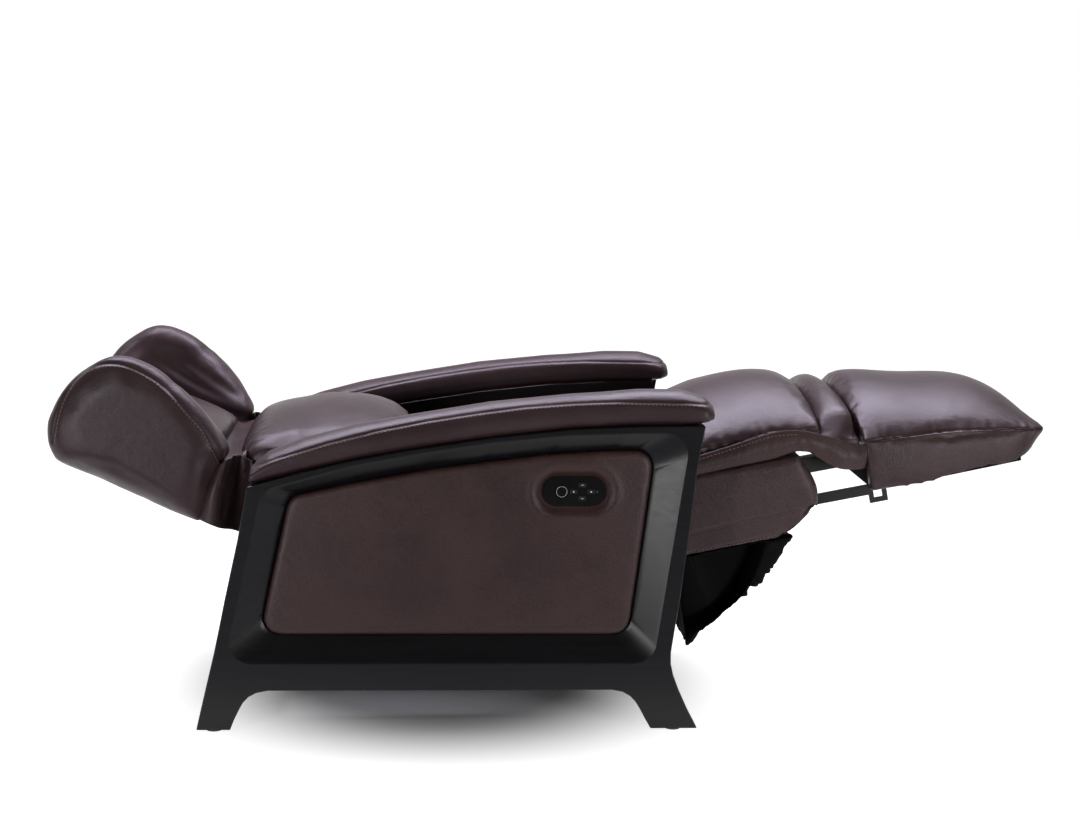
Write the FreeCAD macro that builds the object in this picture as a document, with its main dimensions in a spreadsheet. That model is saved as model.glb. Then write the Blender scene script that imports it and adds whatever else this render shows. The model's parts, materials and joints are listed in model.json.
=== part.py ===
import FreeCAD, Part
import Sketcher
import math
import os

# A power recliner of leather and black wood, laid back with its legrest out.
# X runs from the head to the toes, Y across, Z up; the floor is at zero and X is zero at mid length.
# The right side, which holds the control panel, is at minus Y.

doc = FreeCAD.newDocument("recliner")
sheet = doc.addObject("Spreadsheet::Sheet", "Sizes")

# Driving sizes, in millimetres and degrees
SIZES = [
    # whole chair
    ("overall_length", 1832),
    ("overall_width", 770),
    ("head_overhang", 266),
    ("soft_gap", 0.4),
    ("cut_overrun", 5),
    ("running_gap", 0.05),
    # side frames
    ("base_depth", 909),
    ("frame_height", 564),
    ("frame_thickness", 45),
    ("bevel_depth", 26),
    ("window_corner", 40),
    ("panel_corner", 32),
    ("panel_recess", 17),
    ("panel_edge_round", 7),
    ("glide_radius", 14),
    ("glide_height", 5),
    # arms
    ("arm_width", 106),
    ("arm_bulge", 5),
    ("arm_board_thickness", 18),
    ("inner_panel_thickness", 12),
    ("inner_panel_floor_gap", 135),
    # base
    ("rail_underside", 84),
    ("cross_rail_width", 60),
    ("cross_rail_height", 36),
    ("base_rail_width", 20),
    ("base_rail_height", 40),
    ("base_rail_inset", 135),
    ("base_rail_lead", 85),
    ("post_thickness", 8),
    ("post_width", 60),
    ("bolt_radius", 4),
    ("bolt_head_radius", 8),
    ("bolt_head_height", 5),
    ("box_length", 180),
    ("box_width", 110),
    ("box_height", 45),
    ("inlet_radius", 9),
    ("inlet_hole_radius", 3),
    ("inlet_length", 22),
    # seat, in its own frame, with the tilt pivot as origin
    ("seat_pivot_reach", 750),
    ("seat_pivot_height", 300),
    ("seat_tilt", 11),
    ("pin_radius", 8),
    ("lug_radius", 20),
    ("arm_clearance", 9),
    ("rail_thickness", 8),
    ("rail_depth", 50),
    ("rail_level", 60),
    ("rear_rail_inset", 4),
    ("front_rail_inset", 16),
    ("rail_lap_start", 100),
    ("rail_lap_length", 30),
    ("tube_radius", 12.5),
    ("mid_tube_reach", 10),
    ("tube_level", 115),
    ("rear_tube_setback", 235),
    ("border_start", 134),
    ("border_base", 28),
    ("border_top", 124),
    ("border_thickness", 14),
    ("border_reach", 368),
    ("border_bulge", 40),
    ("border_front_wall", 30),
    ("spring_radius", 3),
    ("cushion_base", 134),
    ("cushion_seam", 165),
    ("cushion_crown", 254),
    ("cushion_side_bulge", 5),
    ("cushion_lead", 150),
    ("chaise_end", 437),
    ("roll_end", 502),
    ("roll_lip", 92),
    ("roll_crown", 228),
    ("seam_gap", 2),
    ("cover_drop", 150),
    ("cover_start", 125),
    ("cover_reach", 362),
    ("cover_inset", 8),
    # back, in its own frame, with the back hinge as origin
    ("back_hinge_setback", 514),
    ("back_hinge_rise", 135),
    ("back_slope", 21),
    ("back_crown", 251),
    ("back_core", 72),
    ("back_side_clearance", 16),
    ("back_low_angle", 20),
    ("back_high_angle", 57),
    ("back_side_draw", 12),
    ("back_panel_depth", 36),
    ("back_panel_thickness", 12),
    ("back_panel_end", 222),
    ("back_bar_inset", 20),
    ("back_bar_height", 24),
    ("back_bar_width", 12),
    ("back_crank", 100),
    # head section, in its own frame, with the head hinge as origin
    ("head_hinge_reach", 201),
    ("head_hinge_rise", 35),
    ("head_reach", 328.88),
    ("head_inset", 53),
    ("wing_rise", 154),
    ("wing_drop", 65),
    ("wing_thickness", 62),
    ("head_cushion_crown", 62),
    ("head_panel_thickness", 12),
    ("head_bar_width", 10),
    ("head_crank", 40),
    # footrest, in its own frame, with its hinge as origin
    ("footrest_hinge_reach", 482),
    ("footrest_hinge_rise", 90),
    ("footrest_slope", 12),
    ("footrest_reach", 361.27),
    ("footrest_underside", 64),
    ("footrest_seam", 33),
    ("footrest_crown", 128),
    ("board_thickness", 18),
    ("board_start", 92),
    ("board_end", 318),
    ("bracket_thickness", 6),
    ("bracket_inset", 65),
    ("leg_crank", 80),
    # drives
    ("drive_radius", 10),
    ("nut_length", 40),
    ("nut_half_height", 20),
    ("nut_half_width", 22),
    ("motor_length", 85),
    ("back_motor_length", 119),
    ("head_motor_length", 42),
    ("hanger_length", 50),
    ("motor_radius", 26),
    ("gearcase_length", 44),
    ("crank_pin_radius", 6),
    ("yoke_gap", 2.4),
    ("yoke_wall", 9),
    ("yoke_thickness", 6),
    ("tilt_crank", 120),
    ("tilt_offset", 120),
    # joint ranges that the slots have to leave room for
    ("back_range", 50),
    ("head_range", 30),
    ("leg_range", 80),
    # control panel
    ("control_length", 113),
    ("control_height", 55),
    ("control_thickness", 14),
    ("control_proud", 2),
    ("control_rim", 3),
    ("button_radius", 13),
    ("button_travel", 1.5),
    ("button_gap", 0.25),
    ("key_length", 14),
    ("key_height", 8),
    ("lens_radius", 2),
    ("circuit_thickness", 1.6),
]
for row, (name, number) in enumerate(SIZES, start=1):
    sheet.set(f"A{row}", name)
    sheet.set(f"B{row}", str(number))
    sheet.setAlias(f"B{row}", name)
doc.recompute()


class Size:
    """A number that keeps the formula it came from, so that a feature can be bound to the sheet."""

    def __init__(self, text, value):
        self.text = text
        self.value = value

    def merge(self, sign, other, value):
        return Size(f"({self.text} {sign} {words(other)})", value)

    def __add__(self, other):
        return self.merge("+", other, self.value + plain(other))

    def __sub__(self, other):
        return self.merge("-", other, self.value - plain(other))

    def __mul__(self, other):
        return self.merge("*", other, self.value * plain(other))

    def __truediv__(self, other):
        return self.merge("/", other, self.value / plain(other))

    def __neg__(self):
        return Size(f"(0 - {self.text})", -self.value)


def plain(item):
    return item.value if isinstance(item, Size) else item


def words(item):
    return item.text if isinstance(item, Size) else repr(float(item))


def sine(angle):
    return Size(f"sin({angle.text} * 1 deg)", math.sin(math.radians(angle.value)))


def cosine(angle):
    return Size(f"cos({angle.text} * 1 deg)", math.cos(math.radians(angle.value)))


class Sheet:
    """The sheet's cells by name."""


S = Sheet()
for name, number in SIZES:
    setattr(S, name, Size(f"Sizes.{name}", float(sheet.get(name))))
ZERO = Size("0", 0.0)


def bind(item, prop, size):
    item.setExpression(prop, words(size))


# Frames of the tilted groups: hinge place and slope, worked out from one another
class Frame:
    def __init__(self, x, z, slope, front_up):
        self.x = x
        self.z = z
        self.slope = slope
        self.front_up = front_up

    def point(self, along, up):
        """A point of the group's own frame, in the chair's frame."""
        turn = sine(self.slope) if self.front_up else -sine(self.slope)
        x = self.x + cosine(self.slope) * along - turn * up
        z = self.z + turn * along + cosine(self.slope) * up
        return x, z


HEAD_END = -S.overall_length / 2
REAR_FOOT = HEAD_END + S.head_overhang
SEAT = Frame(REAR_FOOT + S.seat_pivot_reach, S.seat_pivot_height, S.seat_tilt, True)
BACK = Frame(*SEAT.point(-S.back_hinge_setback, S.back_hinge_rise), S.back_slope, False)
HEAD = Frame(*BACK.point(-S.head_hinge_reach, S.head_hinge_rise), S.back_slope, False)
LEG = Frame(*SEAT.point(S.footrest_hinge_reach, S.footrest_hinge_rise), S.footrest_slope, True)


# Helpers for features
def vector(x, y, z):
    return FreeCAD.Vector(plain(x), plain(y), plain(z))


TURNS = {
    "x": FreeCAD.Rotation(FreeCAD.Vector(0, 1, 0), 90),
    "y": FreeCAD.Rotation(FreeCAD.Vector(1, 0, 0), -90),
    "z": FreeCAD.Rotation(),
}


def box(name, low, high):
    """A block between its lowest and highest corners."""
    item = doc.addObject("Part::Box", name)
    for prop, start, end in zip(("Length", "Width", "Height"), low, high):
        bind(item, prop, end - start)
    for axis, start in zip("xyz", low):
        bind(item, f"Placement.Base.{axis}", start)
    return item


def rod(name, axis, radius, start, length):
    """A round bar along an axis, from the centre of its first end."""
    item = doc.addObject("Part::Cylinder", name)
    item.Placement = FreeCAD.Placement(FreeCAD.Vector(), TURNS[axis])
    bind(item, "Radius", radius)
    bind(item, "Height", length)
    for letter, place in zip("xyz", start):
        bind(item, f"Placement.Base.{letter}", place)
    return item


def join(name, pieces):
    item = doc.addObject("Part::MultiFuse", name)
    item.Shapes = pieces
    item.Refine = True
    return item


def cut(name, base, tools):
    item = doc.addObject("Part::Cut", name)
    item.Base = base
    item.Tool = tools[0] if len(tools) == 1 else join(name + "_tools", tools)
    return item


def group(name, pieces):
    item = doc.addObject("Part::Compound", name)
    item.Links = pieces
    return item


def mirror(name, source):
    """The same piece on the other side of the chair."""
    item = doc.addObject("Part::Mirroring", name)
    item.Source = source
    item.Normal = FreeCAD.Vector(0, 1, 0)
    return item


def settle(item, frame):
    """Puts a piece modelled in a group's own frame at the group's hinge and slope."""
    axis = FreeCAD.Vector(0, -1 if frame.front_up else 1, 0)
    item.Placement = FreeCAD.Placement(FreeCAD.Vector(), FreeCAD.Rotation(axis, frame.slope.value))
    bind(item, "Placement.Base.x", frame.x)
    bind(item, "Placement.Base.z", frame.z)
    bind(item, "Placement.Rotation.Angle", frame.slope)
    return item


NODES = {}


def node(label, item, frame=None):
    """Names a finished sub-part; a piece of a tilted group goes to its place."""
    item.Label = label
    NODES[label] = settle(item, frame) if frame else item
    return item


def outline(body, name, points, offset):
    """A closed sketch on the body's XZ plane, each corner bound to its two sizes."""
    sketch = body.newObject("Sketcher::SketchObject", name)
    plane = [item for item in body.Origin.OriginFeatures if item.Role == "XZ_Plane"][0]
    sketch.AttachmentSupport = [(plane, "")]
    sketch.MapMode = "FlatFace"
    bind(sketch, "AttachmentOffset.Base.z", offset)
    spots = [vector(x, z, ZERO) for x, z in points]
    for start, end in zip(spots, spots[1:] + spots[:1]):
        sketch.addGeometry(Part.LineSegment(start, end))
    last = len(points) - 1
    for index, (x, z) in enumerate(points):
        sketch.addConstraint(Sketcher.Constraint("Coincident", index - 1 if index else last, 2, index, 1))
        for kind, place in (("DistanceX", x), ("DistanceY", z)):
            number = sketch.addConstraint(Sketcher.Constraint(kind, -1, 1, index, 1, plain(place)))
            bind(sketch, f"Constraints[{number}]", place)
    return sketch


def plate(name, points, offset, thickness):
    """A flat piece padded outwards, to minus Y, from a plane that lies offset from the middle."""
    body = doc.addObject("PartDesign::Body", name)
    pad = body.newObject("PartDesign::Pad", name + "_pad")
    pad.Profile = outline(body, name + "_outline", points, offset)
    bind(pad, "Length", thickness)
    return body


# Shapes that several pieces share
def rounded(points, corners, radius, y):
    """A closed wire across the given Y, with tangent arcs at the corners that are listed."""
    spots = [vector(x, y, z) for x, z in points]
    edges = []
    starts = []
    ends = []
    for index, spot in enumerate(spots):
        before = spots[index - 1] - spot
        after = spots[(index + 1) % len(spots)] - spot
        if index not in corners:
            starts.append(spot)
            ends.append(spot)
            continue
        before.normalize()
        after.normalize()
        half = before.getAngle(after) / 2
        reach = radius.value / math.tan(half)
        middle = before + after
        middle.normalize()
        starts.append(spot + before * reach)
        ends.append(spot + after * reach)
        crown = spot + middle * (radius.value / math.sin(half) - radius.value)
        edges.append((index, Part.Arc(starts[-1], crown, ends[-1]).toShape()))
    arcs = dict(edges)
    ring = []
    for index in range(len(spots)):
        if index in arcs:
            ring.append(arcs[index])
        following = (index + 1) % len(spots)
        ring.append(Part.LineSegment(ends[index], starts[following]).toShape())
    return Part.Wire(ring)


def solid(name, shape):
    """A sub-part whose shape is set directly, where no feature gives it."""
    item = doc.addObject("Part::Feature", name)
    item.Shape = shape
    return item


SIDE_WAIST_SHARE = 0.33


def soft_section(place, half_width, base, seam, crown, draw):
    """One cross section of a cushion: flat base, drawn-in sides and a crowned top.

    place turns (across, up) into a point; draw is how far the base stands in from the seam.
    """
    low = half_width - draw
    waist = half_width - draw * SIDE_WAIST_SHARE
    middle = (base + seam) / 2
    corners = [place(-low, base), place(low, base), place(half_width, seam), place(-half_width, seam)]
    return Part.Wire([
        Part.LineSegment(corners[0], corners[1]).toShape(),
        Part.Arc(corners[1], place(waist, middle), corners[2]).toShape(),
        Part.Arc(corners[2], place(ZERO, crown), corners[3]).toShape(),
        Part.Arc(corners[3], place(-waist, middle), corners[0]).toShape(),
    ])


def along_x(x):
    return lambda across, up: vector(x, across, up)


def shares_of(origin, span, height, shares, level=ZERO):
    return [(origin + span * across, level + height * up) for across, up in shares]


# Side frames: a wooden outline on two feet, with a bevelled window for the leather panel
FOOT_SHARES = [(0.067, 0), (0.0746, 0.0322), (0.0834, 0.0626), (0.0922, 0.0894), (0.1032, 0.1085),
               (0.1186, 0.122), (0.1416, 0.1294), (0.8268, 0.1294), (0.8475, 0.1225), (0.8628, 0.1085),
               (0.874, 0.0894), (0.8836, 0.064), (0.8946, 0.0304), (0.9055, 0)]
FRONT_FOOT_SHARES = [(1, 0), (0.9802, 0.0608), (0.9605, 0.1306), (0.9492, 0.1789), (0.9439, 0.2165)]
FRONT_EDGE_SHARES = [(0.9436, 0.2535), (0.9593, 0.4344), (0.9758, 0.6631), (0.9879, 0.8582)]
TOP_EDGE_SHARES = [(1.0022, 1), (0.8731, 0.997), (0.7386, 0.986), (0.5801, 0.957), (0.4082, 0.913),
                   (0.3089, 0.882), (0.2098, 0.843), (0.1012, 0.7943)]
REAR_EDGE_SHARES = [(0.0837, 0.628), (0.0582, 0.4344), (0.0362, 0.2557), (0.0198, 0.1415), (0, 0)]
WINDOW_SHARES = [(0.0554, 0.219), (0.9085, 0.219), (0.9745, 0.976), (0.8735, 0.9745), (0.7306, 0.966),
                 (0.5802, 0.9415), (0.4444, 0.9065), (0.3089, 0.866), (0.1295, 0.7831)]
PANEL_SHARES = [(0.1229, 0.305), (0.8584, 0.305), (0.906, 0.915), (0.8, 0.912), (0.69, 0.8995),
                (0.58, 0.8767), (0.45, 0.8475), (0.3081, 0.8044), (0.1829, 0.7593)]
ROUND_CORNERS = (0, 1, 2, 8)
OUTER_FACE = S.overall_width / 2
FRAME_BACK = OUTER_FACE - S.frame_thickness
ARM_INNER = OUTER_FACE - S.arm_width
SEAT_HALF = ARM_INNER - S.arm_clearance
BACK_HALF = SEAT_HALF - S.back_side_clearance
BRACKET_SPREAD = SEAT_HALF - S.bracket_inset


def frame_points(shares):
    """Outline points of the side frame; the feet stand on their glides."""
    lift = S.frame_height - S.glide_height
    return shares_of(REAR_FOOT, S.base_depth, lift, shares, S.glide_height)


def top_edge(share):
    """The height share of the frame's top edge at a length share."""
    spots = sorted(TOP_EDGE_SHARES)
    for (low, low_up), (high, high_up) in zip(spots, spots[1:]):
        if share <= high or high == spots[-1][0]:
            return low_up + (high_up - low_up) * (share - low) / (high - low)


frame_rim = FOOT_SHARES + FRONT_FOOT_SHARES + FRONT_EDGE_SHARES + TOP_EDGE_SHARES + REAR_EDGE_SHARES
blank = plate("frame_blank", frame_points(frame_rim), FRAME_BACK, S.frame_thickness)
window = frame_points(WINDOW_SHARES)
opening = frame_points(PANEL_SHARES)
mouth = rounded(window, ROUND_CORNERS, S.window_corner, -OUTER_FACE)
throat = rounded(opening, ROUND_CORNERS, S.panel_corner, -(OUTER_FACE - S.bevel_depth))
bevel = Part.makeLoft([mouth, throat], True, True)
through = Part.Face(throat).extrude(vector(ZERO, S.frame_thickness, ZERO))
mouth_room = Part.Face(mouth).extrude(vector(ZERO, -S.cut_overrun, ZERO))
window_cutter = solid("window_cutter", bevel.fuse([through, mouth_room]))
side_frame = node("side_frame_right", cut("side_frame", blank, [window_cutter]))
node("side_frame_left", mirror("side_frame_mirror", side_frame))

# Leather side panels: padded boards in the windows, the right one with a seat for the control panel
CONTROL_SHARES = [(0.7448, 0.78)]
CONTROL_X, CONTROL_LEVEL = frame_points(CONTROL_SHARES)[0]
CONTROL_FACE = OUTER_FACE - S.panel_recess + S.control_proud


def stadium(name, length, height, y, depth):
    """A block with round ends, as the control panel and its seat have; depth runs to plus Y."""
    straight = (length - height) / 2
    core = box(name + "_core", (CONTROL_X - straight, y, CONTROL_LEVEL - height / 2),
               (CONTROL_X + straight, y + depth, CONTROL_LEVEL + height / 2))
    ends = []
    for number, side in enumerate((-1, 1)):
        place = (CONTROL_X + straight * side, y, CONTROL_LEVEL)
        ends.append(rod(f"{name}_end_{number}", "y", height / 2, place, depth))
    return join(name, [core] + ends)


panel_rim = rounded(opening, ROUND_CORNERS, S.panel_corner, -FRAME_BACK)
panel_face = Part.Face(panel_rim).makeOffset2D(-S.soft_gap.value)
panel_block = panel_face.extrude(vector(ZERO, -(S.frame_thickness - S.panel_recess), ZERO))
front_edges = [edge for edge in panel_block.Edges
               if edge.BoundBox.YMax < -(OUTER_FACE - S.panel_recess).value + S.soft_gap.value]
panel_pad = solid("panel_pad", panel_block.makeFillet(S.panel_edge_round.value, front_edges))
node("side_panel_left", mirror("side_panel_mirror", panel_pad))
control_seat = stadium("control_seat", S.control_length, S.control_height, -(CONTROL_FACE + S.cut_overrun),
                       S.control_thickness + S.cut_overrun)
node("side_panel_right", cut("side_panel", panel_pad, [control_seat]))

# Arm pads: stuffed leather over the arm, arched along its length, with a bullnose front
ARM_SHARES = [(0.1034, 0.845), (0.14, 0.893), (0.2098, 0.938), (0.3089, 0.981), (0.4082, 1.012),
              (0.5801, 1.059), (0.7386, 1.086), (0.8731, 1.1), (0.9577, 1.097), (1.0022, 1.075)]
ARM_NOSE_SHARES = (1.0198, 1.008, 1.05)
ARM_SIDE_SHARE = 0.62
ARM_NOSE_DRAW_SHARE = 0.12


def arm_section(share, base, top, draw):
    """Arm section: flat base, swelling sides and a crowned top; draw narrows it at the nose."""
    x = REAR_FOOT + S.base_depth * share
    side = base + (top - base) * ARM_SIDE_SHARE
    inner = ARM_INNER + draw
    outer = OUTER_FACE - draw
    middle = (inner + outer) / 2
    low_in = vector(x, -(inner + S.arm_bulge), base)
    low_out = vector(x, -(outer - S.arm_bulge), base)
    high_in = vector(x, -(inner + S.arm_bulge), side)
    high_out = vector(x, -(outer - S.arm_bulge), side)
    belly = (base + side) / 2
    return Part.Wire([
        Part.LineSegment(low_out, low_in).toShape(),
        Part.Arc(low_in, vector(x, -inner, belly), high_in).toShape(),
        Part.Arc(high_in, vector(x, -middle, top), high_out).toShape(),
        Part.Arc(high_out, vector(x, -outer, belly), low_out).toShape(),
    ])


arm_rise = S.frame_height - S.glide_height
sections = []
for share, top in ARM_SHARES:
    seat_level = S.glide_height + arm_rise * top_edge(share) + S.soft_gap
    sections.append(arm_section(share, seat_level, S.glide_height + arm_rise * top, ZERO))
nose, nose_base, nose_top = ARM_NOSE_SHARES
sections.append(arm_section(nose, S.glide_height + arm_rise * nose_base, S.glide_height + arm_rise * nose_top,
                            S.arm_width * ARM_NOSE_DRAW_SHARE))
arm_pad = node("arm_pad_right", solid("arm_pad", Part.makeLoft(sections, True, True)))
node("arm_pad_left", mirror("arm_pad_mirror", arm_pad))

# Boards under the arm pads and the black inner sides of the arms
BOARD_SPAN_SHARES = (0.1112, 0.985)
PANEL_SET_SHARE = 0.014


def under_top_edge(first, last):
    """The part of the frame's top edge between two length shares, from front to rear."""
    inside = [spot for spot in TOP_EDGE_SHARES if first < spot[0] < last]
    return frame_points([(last, top_edge(last))] + inside + [(first, top_edge(first))])


upper = under_top_edge(*BOARD_SPAN_SHARES)
lower = [(x, z - S.arm_board_thickness) for x, z in reversed(upper)]
inner_gap = ARM_INNER + S.inner_panel_thickness
arm_board = node("arm_board_right", plate("arm_board", upper + lower, inner_gap, FRAME_BACK - inner_gap))
node("arm_board_left", mirror("arm_board_mirror", arm_board))
front_set = [(share - PANEL_SET_SHARE, up) for share, up in FRONT_EDGE_SHARES]
panel_front = frame_points(front_set)
panel_ends = [(upper[-1][0], S.inner_panel_floor_gap), (panel_front[0][0], S.inner_panel_floor_gap)]
inner_panel = node("inner_panel_right", plate("inner_panel", upper + panel_ends + panel_front, ARM_INNER,
                                              S.inner_panel_thickness))
node("inner_panel_left", mirror("inner_panel_mirror", inner_panel))

# Base steel: cross rails between the side frames, fore and aft rails with posts, glides and bolts
RAIL_START = REAR_FOOT + S.base_rail_inset
RAIL_END = SEAT.x + S.base_rail_lead
RAIL_OUTER = SEAT_HALF - S.rear_rail_inset - S.rail_thickness - S.seam_gap
RAIL_INNER = RAIL_OUTER - S.base_rail_width
CROSS_TOP = S.rail_underside + S.cross_rail_height
RAIL_TOP = CROSS_TOP + S.base_rail_height
BOLT_SPOTS = [(x, y) for x in (RAIL_START + S.cross_rail_width / 2, RAIL_END - S.cross_rail_width / 2)
              for y in (-(RAIL_OUTER + RAIL_INNER) / 2, (RAIL_OUTER + RAIL_INNER) / 2)]


def bolt_holes(name):
    depth = RAIL_TOP - S.rail_underside
    return [rod(f"{name}_hole_{number}", "z", S.bolt_radius, (x, y, S.rail_underside), depth)
            for number, (x, y) in enumerate(BOLT_SPOTS)]


def cross_rail(label, start):
    bar = box(label + "_bar", (start, -FRAME_BACK, S.rail_underside),
              (start + S.cross_rail_width, FRAME_BACK, CROSS_TOP))
    node(label, cut(label, bar, bolt_holes(label)))


cross_rail("rear_cross_rail", RAIL_START)
cross_rail("front_cross_rail", RAIL_END - S.cross_rail_width)

rail_bar = box("rail_bar", (RAIL_START, -RAIL_OUTER, CROSS_TOP), (RAIL_END, -RAIL_INNER, RAIL_TOP))
post = box("rail_post", (SEAT.x - S.post_width / 2, -RAIL_OUTER, RAIL_TOP),
           (SEAT.x + S.post_width / 2, -(RAIL_OUTER - S.post_thickness), S.seat_pivot_height))
post_eye = rod("post_eye", "y", S.post_width / 2, (SEAT.x, -RAIL_OUTER, S.seat_pivot_height),
               S.post_thickness)
SEAT_RAIL_OUTER = SEAT_HALF - S.rear_rail_inset
SEAT_RAIL_INNER = SEAT_RAIL_OUTER - S.rail_thickness
pivot_pin = rod("pivot_pin", "y", S.pin_radius, (SEAT.x, -SEAT_RAIL_OUTER, S.seat_pivot_height),
                SEAT_RAIL_OUTER - RAIL_OUTER + S.post_thickness)
post_rail = join("post_rail", [rail_bar, post, post_eye, pivot_pin])
base_rail = node("base_rail_right", cut("base_rail", post_rail, bolt_holes("base_rail")))
node("base_rail_left", mirror("base_rail_mirror", base_rail))


def pin_pair(name, radius, x, z, inner, outer):
    """Two like pins, one each side of the chair, from an inner to an outer distance."""
    return [rod(name + "_right", "y", radius, (x, -outer, z), outer - inner),
            rod(name + "_left", "y", radius, (x, inner, z), outer - inner)]


# Bar across the base that carries the tilt drive
TILT_PIN_X, TILT_PIN_Z = SEAT.point(ZERO, -S.tilt_crank)
mid_low = CROSS_TOP + S.base_rail_height / 4
mid_high = TILT_PIN_Z - S.nut_half_height / 2
MID_BAR_X = SEAT.x - S.post_width
tilt_bar = box("tilt_bar", (MID_BAR_X, -RAIL_INNER, mid_low),
               (MID_BAR_X + S.gearcase_length, RAIL_INNER, mid_high))

GLIDE_SHARES = (FOOT_SHARES[0][0] / 2, (FOOT_SHARES[-1][0] + FRONT_FOOT_SHARES[0][0]) / 2)
glides = []
for side in (-1, 1):
    for number, share in enumerate(GLIDE_SHARES):
        place = (REAR_FOOT + S.base_depth * share, (OUTER_FACE - S.frame_thickness / 2) * side, ZERO)
        glides.append(rod(f"glide_{number}_{side + 1}", "z", S.glide_radius, place, S.glide_height))
node("foot_glides", group("foot_glides", glides))

bolts = []
for number, (x, y) in enumerate(BOLT_SPOTS):
    shank = rod(f"bolt_shank_{number}", "z", S.bolt_radius, (x, y, S.rail_underside),
                RAIL_TOP - S.rail_underside)
    ends = [rod(f"bolt_end_{number}_{end}", "z", S.bolt_head_radius, (x, y, z), S.bolt_head_height)
            for end, z in enumerate((S.rail_underside - S.bolt_head_height, RAIL_TOP))]
    bolts.append(join(f"bolt_{number}", [shank] + ends))
node("frame_screws", group("frame_screws", bolts))

node("control_box", box("control_box", (RAIL_START, -S.box_length / 2, CROSS_TOP),
                        (RAIL_START + S.box_width, S.box_length / 2, CROSS_TOP + S.box_height)))
inlet_place = (RAIL_START - S.inlet_length, ZERO, CROSS_TOP + S.box_height / 2)
inlet_body = rod("inlet_body", "x", S.inlet_radius, inlet_place, S.inlet_length)
inlet_hole = rod("inlet_hole", "x", S.inlet_hole_radius, inlet_place, S.inlet_length - S.inlet_hole_radius)
node("power_inlet", cut("power_inlet", inlet_body, [inlet_hole]))

# Seat frame, in the seat's own frame; it ends behind the front wall of the seat box
WALL_LINE = S.border_reach - S.border_front_wall
FRONT_TUBE = WALL_LINE - S.soft_gap - S.tube_radius
TUBE_SPOTS = (-S.rear_tube_setback, S.mid_tube_reach, FRONT_TUBE)
FRONT_RAIL_OUTER = SEAT_HALF - S.front_rail_inset
FRONT_RAIL_INNER = FRONT_RAIL_OUTER - S.rail_thickness
RAIL_HIGH = S.rail_level + S.rail_depth
LAP_END = S.rail_lap_start + S.rail_lap_length
BRACKET_OUTER = BRACKET_SPREAD + S.bracket_thickness
ARM_IN = BRACKET_OUTER + S.seam_gap
ARM_OUT = ARM_IN + S.rail_thickness
PIVOT_EYE = S.pin_radius + S.bracket_thickness


def seat_side(side):
    """Rails, lugs and hinge arms of one side of the seat frame; side is 1 or -1."""
    def slab(name, low, high, inner, outer):
        first, last = (inner, outer) if side > 0 else (-outer, -inner)
        return box(f"{name}_{side + 1}", (low[0], first, low[1]), (high[0], last, high[1]))

    def across(name, radius, x, z, inner, outer):
        first = inner if side > 0 else -outer
        return rod(f"{name}_{side + 1}", "y", radius, (x, first, z), outer - inner)

    rear_end = -S.back_hinge_setback - S.lug_radius
    pieces = [
        slab("rear_rail", (rear_end, S.rail_level), (LAP_END, RAIL_HIGH), SEAT_RAIL_INNER, SEAT_RAIL_OUTER),
        slab("rail_lap", (S.rail_lap_start, S.rail_level), (LAP_END, RAIL_HIGH), FRONT_RAIL_INNER,
             SEAT_RAIL_OUTER),
        slab("front_rail", (S.rail_lap_start, S.rail_level), (WALL_LINE - S.soft_gap, RAIL_HIGH),
             FRONT_RAIL_INNER, FRONT_RAIL_OUTER),
        slab("back_lug", (rear_end, S.rail_level), (-S.back_hinge_setback + S.lug_radius, S.back_hinge_rise),
             SEAT_RAIL_INNER, SEAT_RAIL_OUTER),
        across("back_eye", S.lug_radius, -S.back_hinge_setback, S.back_hinge_rise, SEAT_RAIL_INNER,
               SEAT_RAIL_OUTER),
        slab("pivot_lug", (-S.lug_radius, ZERO), (S.lug_radius, RAIL_HIGH), SEAT_RAIL_INNER, SEAT_RAIL_OUTER),
        across("pivot_eye", S.lug_radius, ZERO, ZERO, SEAT_RAIL_INNER, SEAT_RAIL_OUTER),
        slab("hinge_arm", (FRONT_TUBE - S.tube_radius, S.footrest_hinge_rise - PIVOT_EYE),
             (S.footrest_hinge_reach, S.footrest_hinge_rise + PIVOT_EYE), ARM_IN, ARM_OUT),
        across("hinge_eye", PIVOT_EYE, S.footrest_hinge_reach, S.footrest_hinge_rise, ARM_IN, ARM_OUT),
    ]
    holes = [
        across("back_bore", S.pin_radius, -S.back_hinge_setback, S.back_hinge_rise, SEAT_RAIL_INNER,
               SEAT_RAIL_OUTER),
        across("tilt_bore", S.pin_radius + S.running_gap, ZERO, ZERO, SEAT_RAIL_INNER, SEAT_RAIL_OUTER),
        across("leg_bore", S.pin_radius, S.footrest_hinge_reach, S.footrest_hinge_rise, ARM_IN, ARM_OUT),
    ]
    return pieces, holes


tubes = []
for number, x in enumerate(TUBE_SPOTS):
    reach = FRONT_RAIL_INNER if number == 2 else SEAT_RAIL_INNER
    tubes.append(rod(f"seat_tube_{number}", "y", S.tube_radius, (x, -reach, S.tube_level), reach * 2))
right_pieces, right_holes = seat_side(-1)
left_pieces, left_holes = seat_side(1)
TILT_PLATE_IN = S.tilt_offset + S.nut_half_width + S.yoke_thickness + S.seam_gap
tilt_arm = box("tilt_arm", (-S.lug_radius, TILT_PLATE_IN, -S.tilt_crank),
               (S.mid_tube_reach + S.lug_radius, TILT_PLATE_IN + S.bracket_thickness, S.tube_level))
tilt_eye = rod("tilt_eye", "y", S.lug_radius, (ZERO, TILT_PLATE_IN, -S.tilt_crank), S.bracket_thickness)
STUB = S.yoke_thickness + S.seam_gap - S.soft_gap
tilt_stub = rod("tilt_stub", "y", S.crank_pin_radius, (ZERO, TILT_PLATE_IN - STUB, -S.tilt_crank), STUB)
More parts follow.
